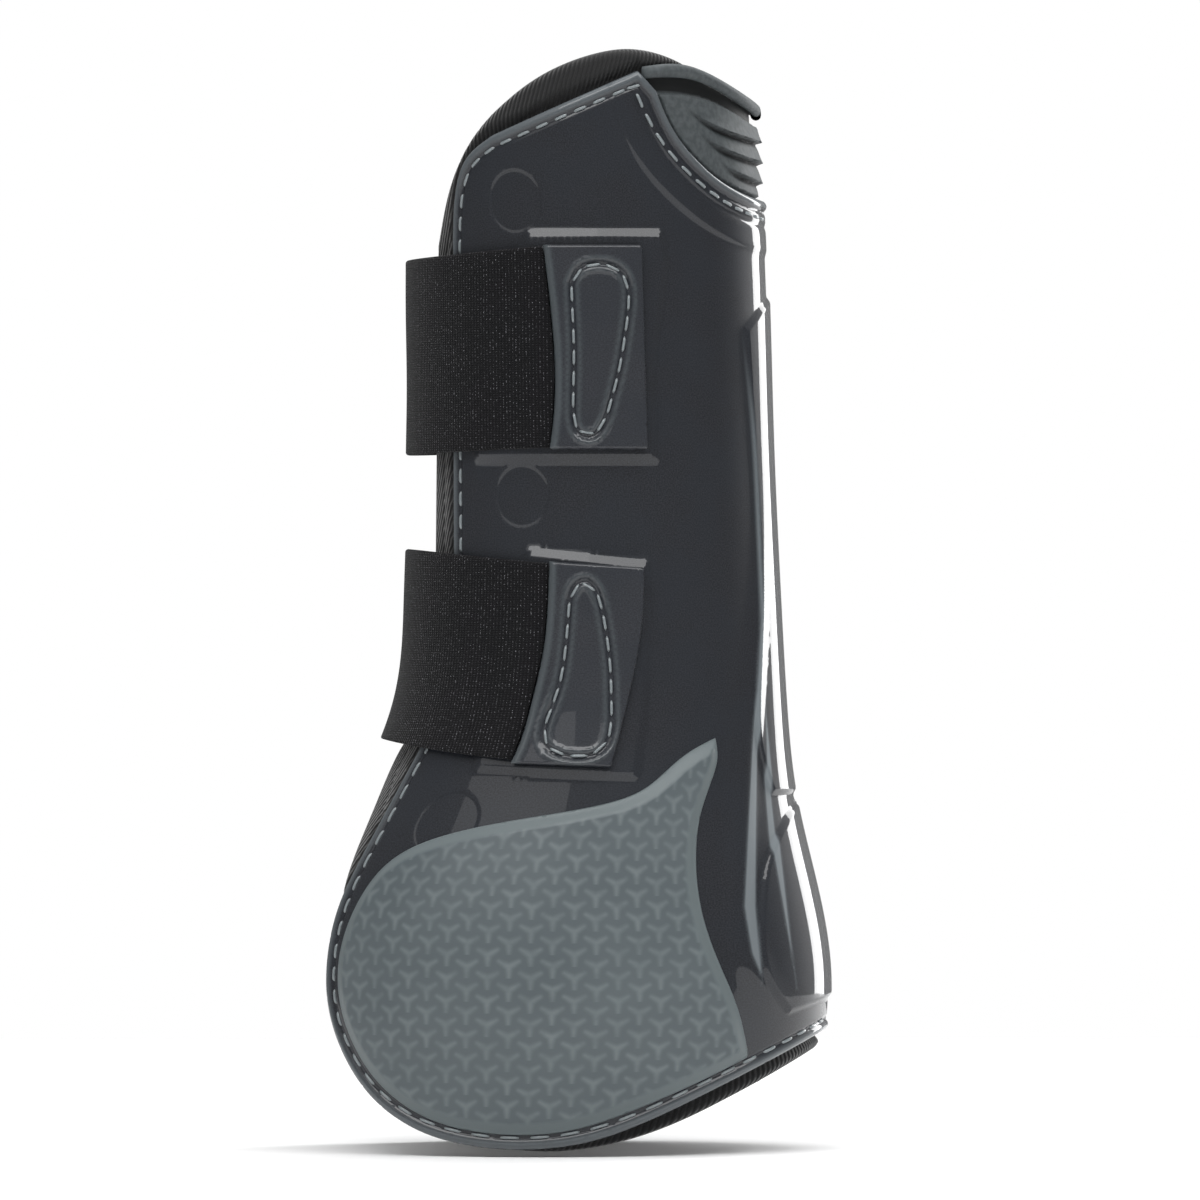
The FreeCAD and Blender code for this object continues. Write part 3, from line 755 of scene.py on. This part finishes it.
ridge_loops = [mirrored(tendon_ridge), mirrored(fetlock_ridge)]
print("raised areas:", len(seat_loops), "seats,", len(ridge_loops), "ridges")


# %% The shell's height
HEM_ROLL, HEM_BEAD, HEM_GROOVE = 0.9, 0.5, 0.45
BORDER_RISE, BORDER_GROOVE = 0.55, 0.35
SEAT_RISE, SEAT_SLOPE = 1.25, 2.6
MARK_SINK = 0.3
RIDGE_RISE = 1.0
TENDON_RISE = 0.8


def spine_height(s, z):
    """The raised back of the shell, and the soft ridge along each side of the tendon."""
    lift = TENDON_RISE * ramp(gap_to(tendon_line, np.abs(s), z), 6.0, 0.0)
    lift *= ramp(z, 175.0, 120.0) * ramp(z, 30.0, 50.0)
    for loop in ridge_loops:
        lift += RIDGE_RISE * ramp(depth_in(loop, s, z), -1.0, 1.0)
    return lift


def shell_top(s, z):
    """The outer face: rolled hem, vent border, seats, round marks and spine."""
    edge = gap_to(shell_loop, s, z, closed=True)
    lift = rounded(edge, HEM_ROLL) + HEM_BEAD * hump(edge, 1.5, 1.0)
    lift -= HEM_GROOVE * hump(edge, 3.1, 0.55)
    vent = gap_to(vent_line, np.abs(s), z)
    lift += BORDER_RISE * ramp(vent, 14.8, 12.2) - BORDER_GROOVE * hump(vent, 6.6, 0.8)
    for loop in seat_loops:
        lift += SEAT_RISE * np.clip((depth_in(loop, s, z) + 1.5) / SEAT_SLOPE, 0, 1)
    for centre in round_marks:
        away = np.hypot(s - centre[0], z - centre[1])
        lift -= MARK_SINK * ramp(away, 8.4, 7.2)
    return lift + spine_height(s, z)


# %% Where the shell's plastic is lighter, and where highlights are painted on it
def shell_tone_and_painted_highlights(s, z):
    """Lighter plastic along the hem; painted highlights on two patches beside the spine and a
    painted reflection along one thin line.
    """
    edge = gap_to(shell_loop, s, z, closed=True)
    light = 0.6 * ramp(edge, 2.6, 1.4) - 0.15 * hump(edge, 1.2, 0.5)
    # painted highlights: lamp reflections on the two patches beside the spine
    for loop in painted_highlight_patches:
        light = np.maximum(light, 1.2 * ramp(depth_in(loop, np.abs(s), z), -0.3, 0.9))
    # a painted reflection: a thin line of lamp light down the side of the spine
    line = 0.8 * hump(gap_to(painted_reflection_line, np.abs(s), z), 0.0, 0.6)
    return np.maximum(light, line * ramp(z, 212.0, 170.0))


# %% The shell itself
BORDER_LINES = (6.6, 13.5, -6.6, -13.5)
MARK_RADIUS = 7.7


def flat_level(level):
    """A height function that is the same everywhere."""
    return lambda s, z: np.full(len(s), level)


def shell_creases():
    """Every line where the shell's height changes fast, and the edges of its painted highlights,
    so that points follow them.
    """
    turns = np.linspace(0, 2 * math.pi, 60)
    lines = [*seat_loops]
    for line in (tendon_ridge, fetlock_ridge, painted_reflection_line, *painted_highlight_patches):
        lines += [line, line * [-1, 1]]
    for side in (1, -1):
        lines += [beside(vent_line, shift) * [side, 1] for shift in BORDER_LINES]
    for centre in round_marks:
        lines.append(centre + MARK_RADIUS * np.stack([np.cos(turns), np.sin(turns)], axis=1))
    return lines


shell = panel(
    "outer_shell_moulding",
    shell_loop,
    shell_top,
    flat_level(SHELL_BACK),
    rings=(0.3, 0.6, 1.0, 1.5, 2.1, 2.6, 3.1, 3.6, 4.3),
    creases=shell_creases(),
    tone_and_painted_light=shell_tone_and_painted_highlights,
)
placed(shell, "boot", shell_finish, "shell_plastic", "outer_shell")

# %% [markdown]
# ## Fetlock pads
# Each pad is a flat-topped plate with a soft bevel about three millimetres wide. The bevel is
# clearer plastic than the top, so the marks show only on the top.

# %% The two pads
PAD_RISE, PAD_BEVEL = 1.3, 3.4
PAD_RINGS = (0.3, 0.7, 1.2, 1.8, 2.4, 2.9, 3.4, 4.0)


def pad_on(side, name):
    """A pad on the outer (1) or inner (-1) side."""
    loop = pad_loop * [side, 1]

    def top(s, z):
        edge = gap_to(loop, s, z, closed=True)
        return PAD_EDGE + rounded(edge, 0.3) + PAD_RISE * ramp(edge, 0.0, PAD_BEVEL)

    def tone_and_painted_light(s, z):
        return ramp(gap_to(loop, s, z, closed=True), 3.3, 2.6)

    return panel(name, loop, top, flat_level(PAD_BACK), rings=PAD_RINGS, tone_and_painted_light=tone_and_painted_light)


outer_pad = pad_on(1, "fetlock_pad_outer")
placed(outer_pad, "boot", pad_finish, "pad_plastic", "fetlock_pad_lateral")
inner_pad = pad_on(-1, "fetlock_pad_inner")
placed(inner_pad, "boot", pad_finish, "pad_plastic", "fetlock_pad_medial")

# %% [markdown]
# ## Lining, binding and backing
# The foam lining is soft where the shell lets it go: it swells past the shell's edge and rounds
# over. Under the shell it is pressed flat. The binding is the knit that wraps its edge.

# %% The lining's outline
LINING_TOP = [(44.0, 261.0), (33.8, 271.2), (24.0, 276.8), (13.0, 279.0), (2.0, 277.6),
              (-11.0, 272.9), (-23.0, 265.0), (-31.5, 255.5), (-36.6, 244.0), (-39.4, 230.0)]
LINING_FRONT = [(-40.4, 120.0), (-42.6, 112.0), (-48.0, 103.5), (-56.1, 86.0), (-62.2, 70.8),
                (-65.0, 58.0), (-65.2, 44.0), (-62.0, 28.0), (-54.4, 15.4), (-42.0, 5.9),
                (-26.0, 1.6), (-8.0, 0.3), (10.0, 2.7), (32.0, 10.3), (57.0, 22.7), (62.0, 25.2)]
lining_path = joined(LINING_TOP, [(-39.4, 230.0), (-40.4, 120.0)], LINING_FRONT)
lining_loop = round_both_sides(lining_path)
print("lining outline:", len(lining_loop), "points")

# %% The lining, swollen where nothing presses on it
SWELL = 1.9
LINING_ROUND = 2.6
BAND, SEAM_SINK = 7.0, 0.25  # the binding's width, and the depth of the seam along it


def lining_edge(s, z):
    """How far either face falls back at the rounded edge and at the binding's seam."""
    edge = gap_to(lining_loop, s, z, closed=True)
    return rounded(edge, LINING_ROUND) - SEAM_SINK * hump(edge, BAND, 0.5)


def lining_outside(s, z):
    """Flat under the shell and the vent, swollen beyond them."""
    beyond = -np.maximum(depth_in(shell_loop, s, z), depth_in(flange_loop, s, z))
    return LINING[1] + SWELL * ramp(beyond, 0.3, 3.2) + lining_edge(s, z)


def lining_inside(s, z):
    """Even against the leg."""
    return LINING[0] - lining_edge(s, z)


lining = panel(
    "foam_lining_pad",
    lining_loop,
    lining_outside,
    lining_inside,
    grid=2.2,
    rings=(0.25, 0.6, 1.1, 1.8, 2.6, 3.6, 4.8, 6.4, 7.0, 7.6),
)
placed(lining, "boot", lining_finish, "lining_knit", "foam_lining", "lining_binding")

# %% The backing cloth
backing = panel(
    "backing_cloth",
    inset(shell_loop, 3.2),
    flat_level(BACKING[1]),
    flat_level(BACKING[0]),
    grid=4.0,
    rings=(),
)
placed(backing, "boot", backing_finish, "backing_textile", "backing_fabric")

# %% [markdown]
# ## The vent
# A rubber insert closes the notch at the top of the back. Its face is a row of overlapping
# louvres: each one leans out towards its lower lip, and a slit runs under the lip. The slits start
# as points on the sides and open towards the back.

# %% The slits between the louvres
SLITS = [
    [(24.8, 265.7), (28.5, 262.6), (33.5, 259.5), (39.0, 257.6), (44.2, 256.4)],
    [(28.4, 259.4), (32.0, 256.2), (36.0, 253.8), (40.5, 252.2), (44.6, 251.2)],
    [(34.3, 251.4), (37.2, 249.2), (40.2, 247.6), (43.0, 246.6), (45.2, 246.0)],
]
vent_loop = round_both_sides(joined(
    [(44.6, 260.4), (36.0, 265.2), (27.4, 267.6), (18.6, 268.1)],
    [(18.6, 268.1), (20.9, 262.4), (24.5, 256.2), (29.8, 250.3), (35.0, 246.2), (41.4, 243.1),
     (46.2, 241.9)],
))
slit_paths = [unrolled(curved([*slit, (47.0, slit[-1][1] - 0.4)])) for slit in SLITS]
print("slits:", len(slit_paths))

# %% The louvres' height and painted shade
FACE_RISE = 1.5
LIP_RISE, LIP_FADE = 1.35, 3.2
SLIT_SINK, SLIT_FADE = 1.2, 1.1
OPENING = 14.0  # a slit is fully open this far round from its closed end


def above_slit(path, s, z):
    """Height above a slit, and how open it is at that place."""
    order = np.argsort(path[:, 0])
    across = np.abs(s)
    line = np.interp(across, path[order, 0], path[order, 1])
    return z - line, ramp(path[:, 0].max() - across, 0.0, OPENING)


def vent_top(s, z):
    """The raised face, with a lip over every slit and a drop under it."""
    depth = depth_in(vent_loop, s, z)
    lift = VENT_PLATE + FACE_RISE * ramp(depth, -0.2, 0.7)
    for path in slit_paths:
        above, share = above_slit(path, s, z)
        lip = LIP_RISE * np.exp(-np.clip(above, 0, None) / LIP_FADE) * ramp(above, -0.4, 0.25)
        drop = SLIT_SINK * np.exp(-np.clip(-above, 0, None) / SLIT_FADE)
        drop *= ramp(above, 0.25, -0.4)
        lift += share * (lip - drop) * ramp(depth, 0.0, 1.0)
    return lift


def vent_painted_shade(s, z):
    """Painted shade: dark in the recess round the raised face and in the slits under the lips."""
    # painted shade in the recessed channel outside the raised face
    dark = 1 - ramp(depth_in(vent_loop, s, z), -0.6, 0.3)
    for path in slit_paths:
        above, share = above_slit(path, s, z)
        dark = np.maximum(dark, share * ramp(above, 0.2, -0.35) * ramp(above, -1.7, -0.5))
    return dark


# %% The louvred insert
LIP_LINES = (-0.9, -0.4, 0.0, 0.4, 0.9)


def beside_slits():
    """Lines along every slit, on both sides of the boot."""
    for path in slit_paths:
        for side in (1, -1):
            for shift in LIP_LINES:
                yield path * [side, 1] + [0, shift]


vent = panel(
    "vent_louvres",
    flange_loop,
    vent_top,
    flat_level(VENT_BACK),
    grid=0.9,
    rings=(0.5,),
    creases=list(beside_slits()) + [vent_loop],
    tone_and_painted_light=vent_painted_shade,
)
placed(vent, "boot", rubber_finish, "vent_rubber", "vent_louvre")

# %% [markdown]
# ## Strips
# The vent's rim and the elastic straps are strips: a cross-section with rounded ends carried along
# the wall. A curve with a bevel object would do for a straight cord, but a strip that leaves the
# wall, leans and ends in a curve is simpler as a grid.

# %% A strip from places along and across it
END_SHARE = 0.35  # how thick a strip still is at its very end
END_LENGTH = 1 / 90  # the share of its length over which it thins


def section(height, thickness, rows):
    """A flat cross-section with round ends: shares across it, and shares of half its thickness."""
    half = thickness / 2
    turn = np.linspace(0, math.pi, 7)[1:-1]
    flat = np.linspace(half, height - half, rows)
    across = [flat, height - half + half * np.sin(turn), flat[::-1], half - half * np.sin(turn)]
    out = [np.ones(rows), np.cos(turn), -np.ones(rows), -np.cos(turn)]
    return np.concatenate(across) / height, np.concatenate(out)


def tube_faces(columns, ring, start=0):
    """Faces round a tube of rings, with a face over each end."""
    faces = []
    for i in range(columns - 1):
        a, b = start + i * ring, start + (i + 1) * ring
        for j in range(ring):
            k = (j + 1) % ring
            faces.append([a + j, a + k, b + k, b + j])
    last = start + (columns - 1) * ring
    faces.append(list(range(start, start + ring))[::-1])
    faces.append(list(range(last, last + ring)))
    return faces


def strip(name, place, columns, height, thickness, rows):
    """A closed strip. place takes a share along and a share across, and gives s, z and level."""
    across, out = section(height, thickness, rows)
    u = np.repeat(np.linspace(0, 1, columns), len(across))
    s, z, level = place(u, np.tile(across, columns))
    to_end = np.minimum(u, 1 - u) / END_LENGTH
    ends = END_SHARE + (1 - END_SHARE) * np.sqrt(np.clip(to_end, 0, 1))
    points = on_wall(s, z, level + np.tile(out, columns) * thickness / 2 * ends)
    faces = tube_faces(columns, len(across))
    marks = {"sheet": np.stack([s, z, 0 * s], axis=1), "tone_and_painted_light": np.zeros(len(s))}
    piece = built(name, points, faces, None, marks)
    print(f"{name}: {len(faces)} faces")
    return piece


# %% The vent's rim
RIM_TOP = [(14.4, 274.4), (25.0, 275.2), (34.6, 271.7), (43.2, 266.8), (47.0, 264.6)]
RIM_BOTTOM = [(15.0, 271.4), (26.0, 271.6), (34.6, 268.6), (43.2, 263.8), (47.0, 261.6)]
RIM_BACK, RIM_SIDE = 46.0, 14.6  # how far back the rim is at its middle and at its ends
RIM_LEVEL = -0.55


def rim_place(u, v):
    """Places of the rim, from its end on the inner side round the back to the outer side."""
    across = np.abs(2 * u - 1)
    x = RIM_BACK - (RIM_BACK - RIM_SIDE) * across**1.6
    top = np.interp(x, *curved(RIM_TOP).T)
    bottom = np.interp(x, *curved(RIM_BOTTOM).T)
    z = bottom + (top - bottom) * v
    s = unrolled(np.stack([x, z], axis=1))[:, 0] * np.sign(2 * u - 1)
    return s, z, np.full(len(u), RIM_LEVEL)


rim = strip("vent_rim_bead", rim_place, columns=120, height=3.0, thickness=2.8, rows=8)
placed(rim, "boot", rubber_finish, "vent_rubber", "vent_rim")

# %% [markdown]
# ## Elastic straps
# Each strap is one length of 50 mm woven elastic. It is sewn to the inner side of the shell, runs
# across the open front and ends under the tab's edge in a gentle curve.

# %% The edges of the two elastics
STRAPS = {
    "upper": {
        "top": [(-62.0, 225.6), (-46.0, 226.2), (-25.0, 227.8), (-9.6, 229.0)],
        "bottom": [(-62.0, 176.2), (-46.0, 176.4), (-25.0, 177.4), (-9.0, 178.0)],
        "end": [(-8.6, 177.0), (-7.6, 186.0), (-7.3, 198.0), (-8.4, 214.0), (-10.2, 230.0)],
    },
    "lower": {
        "top": [(-62.0, 154.2), (-46.0, 152.8), (-25.0, 150.4), (-8.6, 148.8)],
        "bottom": [(-62.0, 106.2), (-49.0, 103.4), (-31.0, 100.6), (-17.0, 99.2)],
        "end": [(-18.2, 98.4), (-15.6, 104.6), (-11.8, 118.2), (-9.6, 130.0), (-8.6, 149.6)],
    },
}
print("straps:", sorted(STRAPS))

# %% The two elastics
WEBBING, WEB_THICK = 50.0, 1.5
SEWN_END = -13.0  # where the sewn end lies in side view, on the inner side
SEWN_LEVEL = 0.95
FREE_RISE, TAB_RISE = 0.85, 0.9  # it stands off where it is free, and more at the tab
BOW = 0.12  # how far it bows in and out between its edges


def elastic_place(shape):
    """Places of an elastic: from its sewn end on the inner side to its curved end."""
    top, bottom, end = (curved(shape[key]) for key in ("top", "bottom", "end"))

    def place(u, v):
        guess = np.interp(v, [0, 1], [bottom[-1, 1], top[-1, 1]])
        end_x = np.interp(guess, end[:, 1], end[:, 0])
        last = unrolled(np.stack([end_x, guess], axis=1))[:, 0]
        first = -unrolled(np.stack([np.full(len(u), SEWN_END), guess], axis=1))[:, 0]
        around = 2 * math.pi * TURN + first
        s = around + (last - around) * u
        front, back, _ = oval_at(guess).T
        x = (back - front) / 2 + (back + front) / 2 * np.cos(s / TURN)
        high = np.interp(x, top[:, 0], top[:, 1])
        low = np.interp(x, bottom[:, 0], bottom[:, 1])
        z = low + (high - low) * v
        bow = BOW * np.sin(7 * v + 5 * u) * ramp(u, 0.1, 0.3)
        level = SEWN_LEVEL + FREE_RISE * ramp(u, 0.0, 0.34) + bow + TAB_RISE * ramp(u, 0.9, 1.0)
        return s, z, level

    return place


for where, shape in STRAPS.items():
    web = strip(f"elastic_web_{where}", elastic_place(shape), 110, WEBBING, WEB_THICK, rows=40)
    nodes = (f"elastic_strap_{where}", f"strap_anchor_{where}")
    finished(web, elastic_finish, "strap_elastic", *nodes)
    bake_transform(web)

# %% [markdown]
# ## Tabs
# A tab is a clear moulded plate over hook tape. A bead stands along its sewn edge, and a stitched
# groove runs round a window in its middle.

# %% The outlines of the two tabs
TABS = {
    "upper": {
        "seam": [(-6.0, 229.3), (-6.0, 177.6)],
        "plate": [(-10.0, 229.3), (-8.2, 214.0), (-7.1, 198.0), (-7.4, 186.0), (-8.4, 177.6)],
        "rest": [[(-8.4, 177.6), (15.2, 177.6)], [(15.2, 177.6), (13.7, 229.3)],
                 [(13.7, 229.3), (-10.0, 229.3)]],
        "window": [(-3.1, 219.5), (-1.2, 223.2), (3.1, 224.6), (8.0, 223.2), (10.4, 218.5),
                   (9.8, 208.0), (8.2, 197.7), (6.3, 189.8), (4.3, 183.6), (1.4, 180.8),
                   (-1.7, 182.2), (-2.7, 188.0), (-2.5, 202.9), (-2.9, 213.4)],
    },
    "lower": {
        "seam": [(-5.6, 149.2), (-15.2, 98.7)],
        "plate": [(-8.4, 149.3), (-9.4, 130.0), (-11.6, 118.2), (-15.2, 104.6), (-18.0, 98.2)],
        "rest": [[(-18.0, 98.2), (6.3, 97.3)],
                 [(6.3, 97.3), (9.6, 110.4), (12.4, 123.4), (14.0, 135.0), (14.4, 147.7)],
                 [(14.4, 147.7), (-8.4, 149.3)]],
        "window": [(-3.5, 139.6), (-2.4, 142.8), (0.3, 144.4), (2.8, 142.0), (4.8, 133.9),
                   (6.1, 123.4), (6.4, 112.0), (5.6, 104.0), (2.0, 100.4), (-4.6, 100.2),
                   (-9.2, 102.6), (-9.8, 106.6), (-7.0, 114.5), (-4.9, 123.4)],
    },
}
print("tabs:", sorted(TABS))

# %% A tab
EDGE_ROUND = 0.8
BEAD_RISE, BEAD_AT = 0.75, 1.4
GROOVE_SINK, LIP_HEIGHT = 0.8, 0.3
TAB_RINGS = (0.2, 0.45, 0.8, 1.2, 1.7, 2.3)


def tab(where, shape):
    """A tab's plate, and the line of its stitched groove."""
    seam = unrolled(curved(shape["plate"]))
    loop = unrolled(joined(shape["plate"], *shape["rest"]))[:-1]
    window = unrolled(curved([*shape["window"], shape["window"][0]]))[:-1]

    def top(s, z):
        edge = gap_to(loop, s, z, closed=True)
        bead = gap_to(seam, s, z)
        ring = gap_to(window, s, z, closed=True)
        lift = TAB_FACE + rounded(edge, EDGE_ROUND) + BEAD_RISE * hump(bead, BEAD_AT, 0.95)
        lift += LIP_HEIGHT * hump(ring, 1.5, 0.6) - GROOVE_SINK * hump(ring, 0.0, 0.8)
        return lift - LIP_HEIGHT * ramp(depth_in(window, s, z), 0.6, 2.4)

    def tone_and_painted_light(s, z):
        bead = ramp(gap_to(seam, s, z), 2.6, 1.6)
        ring = 0.45 * hump(gap_to(window, s, z, closed=True), 1.5, 0.5)
        return np.maximum(0.6 * bead, ring)

    piece = panel(
        f"tab_plate_{where}",
        loop,
        top,
        flat_level(TAB_BACK),
        grid=0.9,
        rings=TAB_RINGS,
        creases=[np.concatenate([window, window[:1]])],
        tone_and_painted_light=tone_and_painted_light,
    )
    finished(piece, tab_finish, "tab_plastic", f"strap_tab_{where}")
    return piece, window


# %% The two tabs, and two points across each sewn seam
BEND_BEFORE, BEND_AFTER = 1.0, 2.5  # how far the two points lie on each side of the seam


def across_seam(seam, outward):
    """Two points on a line square to the seam, one on each side of it."""
    top, low = np.array(seam)
    run = top - low
    square = np.array([run[1], -run[0]]) / math.hypot(*run)
    middle = (top + low) / 2
    ends = middle - BEND_BEFORE * square, middle + BEND_AFTER * square
    return [(x * MM, outward, z * MM) for x, z in ends]


windows = {}
for where, shape in TABS.items():
    plate, windows[where] = tab(where, shape)
    front_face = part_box(f"strap_tab_{where}")[0][1]
    before, after = across_seam(shape["seam"], front_face)
    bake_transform(plate)
    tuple(before)
    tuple(after)

# %% [markdown]
# ## Hook and loop tape
# Loop tape is bonded to each seat and hook tape to the back of each tab. Only their edges show
# until a tab is peeled.

# %% The tape patches
TAPES = {
    "upper": {
        "loop": [(-4.4, 228.0), (12.6, 228.0), (13.4, 198.0), (13.8, 179.0), (-4.4, 179.0)],
        "hook": [(-3.4, 226.3), (11.4, 226.3), (12.6, 180.6), (-3.4, 180.6)],
    },
    "lower": {
        "loop": [(-4.2, 147.0), (12.6, 146.0), (11.2, 122.0), (5.8, 98.8), (-12.6, 99.6)],
        "hook": [(-3.2, 146.4), (11.9, 145.2), (10.6, 126.0), (4.3, 100.2), (-11.9, 101.4)],
    },
}
TAPE_LEVELS = {"loop": LOOP_TAPE, "hook": HOOK_TAPE}
for where, tapes in TAPES.items():
    for kind, corners in tapes.items():
        low, high = TAPE_LEVELS[kind]
        tape = panel(
            f"{kind}_tape_{where}",
            block_loop(corners),
            flat_level(high),
            flat_level(low),
            grid=2.5,
            rings=(),
        )
        body = "boot" if kind == "loop" else f"tab_{where}"
        placed(tape, body, tape_finish, "hook_loop_tape", f"{kind}_patch_{where}")

# %% [markdown]
# ## Stitching
# Every stitch is its own short thread: a rod that thins and dips at both ends, where the needle
# pulled it in. Rows follow a path at a fixed pitch, so the count comes from the length.

# %% Rows of stitches
AROUND = 8  # points round a thread
SHARE = np.linspace(-1, 1, 9)  # places along a stitch, from one end to the other


def stitch(middle, way, height, length, radius):
    """The points of one thread that lies along a way at a place on the sheet."""
    line = middle[:, None] + way[:, None] * SHARE * length / 2
    dip = radius * (0.35 - 1.3 * SHARE**4)
    core = on_wall(*line, height(*line) + dip)
    out = on_wall(*line, 1.0) - on_wall(*line, 0.0)
    out /= np.linalg.norm(out, axis=1)[:, None]
    side = np.cross(np.gradient(core, axis=0), out)
    side /= np.linalg.norm(side, axis=1)[:, None]
    thick = radius * MM * np.sqrt(np.clip(1 - SHARE**6, 0.05, 1))
    turn = np.linspace(0, 2 * math.pi, AROUND, endpoint=False)[None, :, None]
    spoke = np.cos(turn) * side[:, None] + np.sin(turn) * out[:, None]
    return (core[:, None] + thick[:, None, None] * spoke).reshape(-1, 3)


def thread_marks(length):
    """Millimetres along a thread and the turn round it, for the strands of its finish."""
    turn = np.linspace(0, 2 * math.pi, AROUND, endpoint=False)
    along = np.repeat(SHARE * length / 2, AROUND)
    return np.stack([along, np.tile(turn, len(SHARE)), 0 * along], axis=1)


def stitch_rows(name, paths, height, pitch=5.8, length=4.3, radius=0.42):
    """Threads along paths on the sheet, as one piece."""
    points, faces = [], []
    for path in paths:
        places = stepped(path, pitch)
        ways = np.diff(places, axis=0)
        middles = places[:-1] + ways / 2
        ways /= np.linalg.norm(ways, axis=1)[:, None]
        for middle, way in zip(middles, ways):
            faces += tube_faces(len(SHARE), AROUND, len(points) * len(SHARE) * AROUND)
            points.append(stitch(middle, way, height, length, radius))
    count = len(points)
    marks = {
        "sheet": np.concatenate([thread_marks(length)] * count),
        "tone_and_painted_light": np.zeros(count * len(SHARE) * AROUND),
    }
    print(f"{name}: {count} stitches")
    return built(name, np.concatenate(points), faces, None, marks)


# %% Stitches round the hem and the vent
HEM_INSET = 3.0
hem_loop = inset(shell_loop, HEM_INSET)
away_from_vent = gap_to(np.concatenate([vent_line, vent_line * [-1, 1]]), *hem_loop.T) > 5.0
outer_hem = hem_loop[(hem_loop[:, 0] > 3) & away_from_vent]
inner_hem = hem_loop[(hem_loop[:, 0] < -3) & away_from_vent]
hem = stitch_rows("hem_stitches", [outer_hem, inner_hem], shell_top)
placed(hem, "boot", thread_finish, "thread", "hem_stitching")

vent_row = unrolled(curved([(12.6, 268.4), (16.6, 259.6), (23.2, 250.4), (31.6, 242.9),
                            (38.3, 238.9), (45.0, 236.6)]))
border = stitch_rows("vent_stitches", [vent_row, vent_row * [-1, 1]], shell_top)
placed(border, "boot", thread_finish, "thread", "vent_stitching")

# %% Stitches round the tabs' windows and through the sewn strap ends
WINDOW_THREAD = {"height": flat_level(3.05), "pitch": 5.4, "length": 4.0, "radius": 0.38}
ANCHOR_THREAD = {"height": flat_level(1.75), "pitch": 4.0, "length": 3.0, "radius": 0.3}
for where, window in windows.items():
    loop = np.concatenate([window, window[:1]])
    row = stitch_rows(f"window_stitches_{where}", [loop], **WINDOW_THREAD)
    placed(row, f"tab_{where}", thread_finish, "thread", f"tab_stitching_{where}")

ANCHORS = {
    "upper": [(-29.6, 221.6), (-16.4, 221.6), (-16.4, 180.0), (-29.6, 180.0)],
    "lower": [(-29.6, 149.8), (-16.4, 149.8), (-16.4, 106.4), (-29.6, 107.2)],
}
for where, corners in ANCHORS.items():
    box = block_loop(corners) * [-1, 1]
    loop = np.concatenate([box, box[:1]])
    row = stitch_rows(f"anchor_stitches_{where}", [loop], **ANCHOR_THREAD)
    placed(row, "boot", thread_finish, "thread", f"anchor_stitching_{where}")

# %% [markdown]
# ## Floor, light and camera
# A long lens from the side shows the boot as on a catalogue page. A large soft light overhead
# draws the pale ledges over the seats, a tall narrow one behind draws the white line down the
# spine, and a wide one in front fills the rest.

# %% The floor
bpy.ops.mesh.primitive_plane_add(size=1.6, location=(0, 0, -0.001))
floor = bpy.context.object
floor.name = "floor"
pale = Tree("pale_floor")
cloudy = pale.noise(3.0, pale.add("ShaderNodeTexCoord", output="Object"))
pale.set(Base_Color=pale.mix(cloudy, (0.86, 0.86, 0.86, 1), (0.9, 0.9, 0.9, 1)), Roughness=0.9)
floor.data.materials.append(pale.material)
print("floor:", floor.dimensions[0], "m wide")

# %% The lights
def soft_light(name, place, size, power):
    """A lamp that faces the middle of the boot. Its sizes are in metres, its power in watts."""
    lamp = bpy.data.lights.new(name, "AREA")
    lamp.shape = "RECTANGLE"
    lamp.size, lamp.size_y = size
    lamp.energy = power
    piece = bpy.data.objects.new(name, lamp)
    piece.visible_camera = False
    bpy.context.scene.collection.objects.link(piece)
    piece.location = place
    aim = Vector((0.0, 0.0, 0.14)) - Vector(place)
    piece.rotation_euler = aim.to_track_quat("-Z", "Y").to_euler()
    print(f"{name}: {power} W")


soft_light("overhead", (0.15, -0.88, 1.46), (2.2, 0.7), 25)
soft_light("spine_strip", (0.74, 0.72, 0.14), (0.28, 2.4), 17)
soft_light("front_fill", (-1.2, -1.9, 2.0), (2.6, 2.0), 15)
soft_light("floor_wash", (0.0, 0.5, 1.9), (1.6, 1.6), 24)

# %% The white surroundings: bright to the eye, dim as a light
SEEN_STRENGTH, LIT_STRENGTH = 1.0, 0.2
world = bpy.data.worlds.new("studio")
world.use_nodes = True
background = world.node_tree.nodes["Background"]
seen = world.node_tree.nodes.new("ShaderNodeLightPath")
strength = world.node_tree.nodes.new("ShaderNodeMapRange")
strength.inputs["To Min"].default_value = LIT_STRENGTH
strength.inputs["To Max"].default_value = SEEN_STRENGTH
world.node_tree.links.new(seen.outputs["Is Camera Ray"], strength.inputs["Value"])
world.node_tree.links.new(strength.outputs["Result"], background.inputs["Strength"])
background.inputs["Color"].default_value = (1, 1, 1, 1)
bpy.context.scene.world = world
bpy.context.scene.view_settings.view_transform = "Standard"
print("world:", world.name)

# %% The camera
DISTANCE = 3.2
VIEW_WIDTH = 0.3072
VIEW_MIDDLE = (0.0038, 0.1395)
camera = bpy.data.objects.new("camera", bpy.data.cameras.new("camera"))
bpy.context.scene.collection.objects.link(camera)
camera.data.lens = camera.data.sensor_width * DISTANCE / VIEW_WIDTH
camera.location = (VIEW_MIDDLE[0], -DISTANCE, VIEW_MIDDLE[1])
camera.rotation_euler = (math.radians(90), 0, 0)
bpy.context.scene.camera = camera
print("lens:", round(camera.data.lens), "mm")
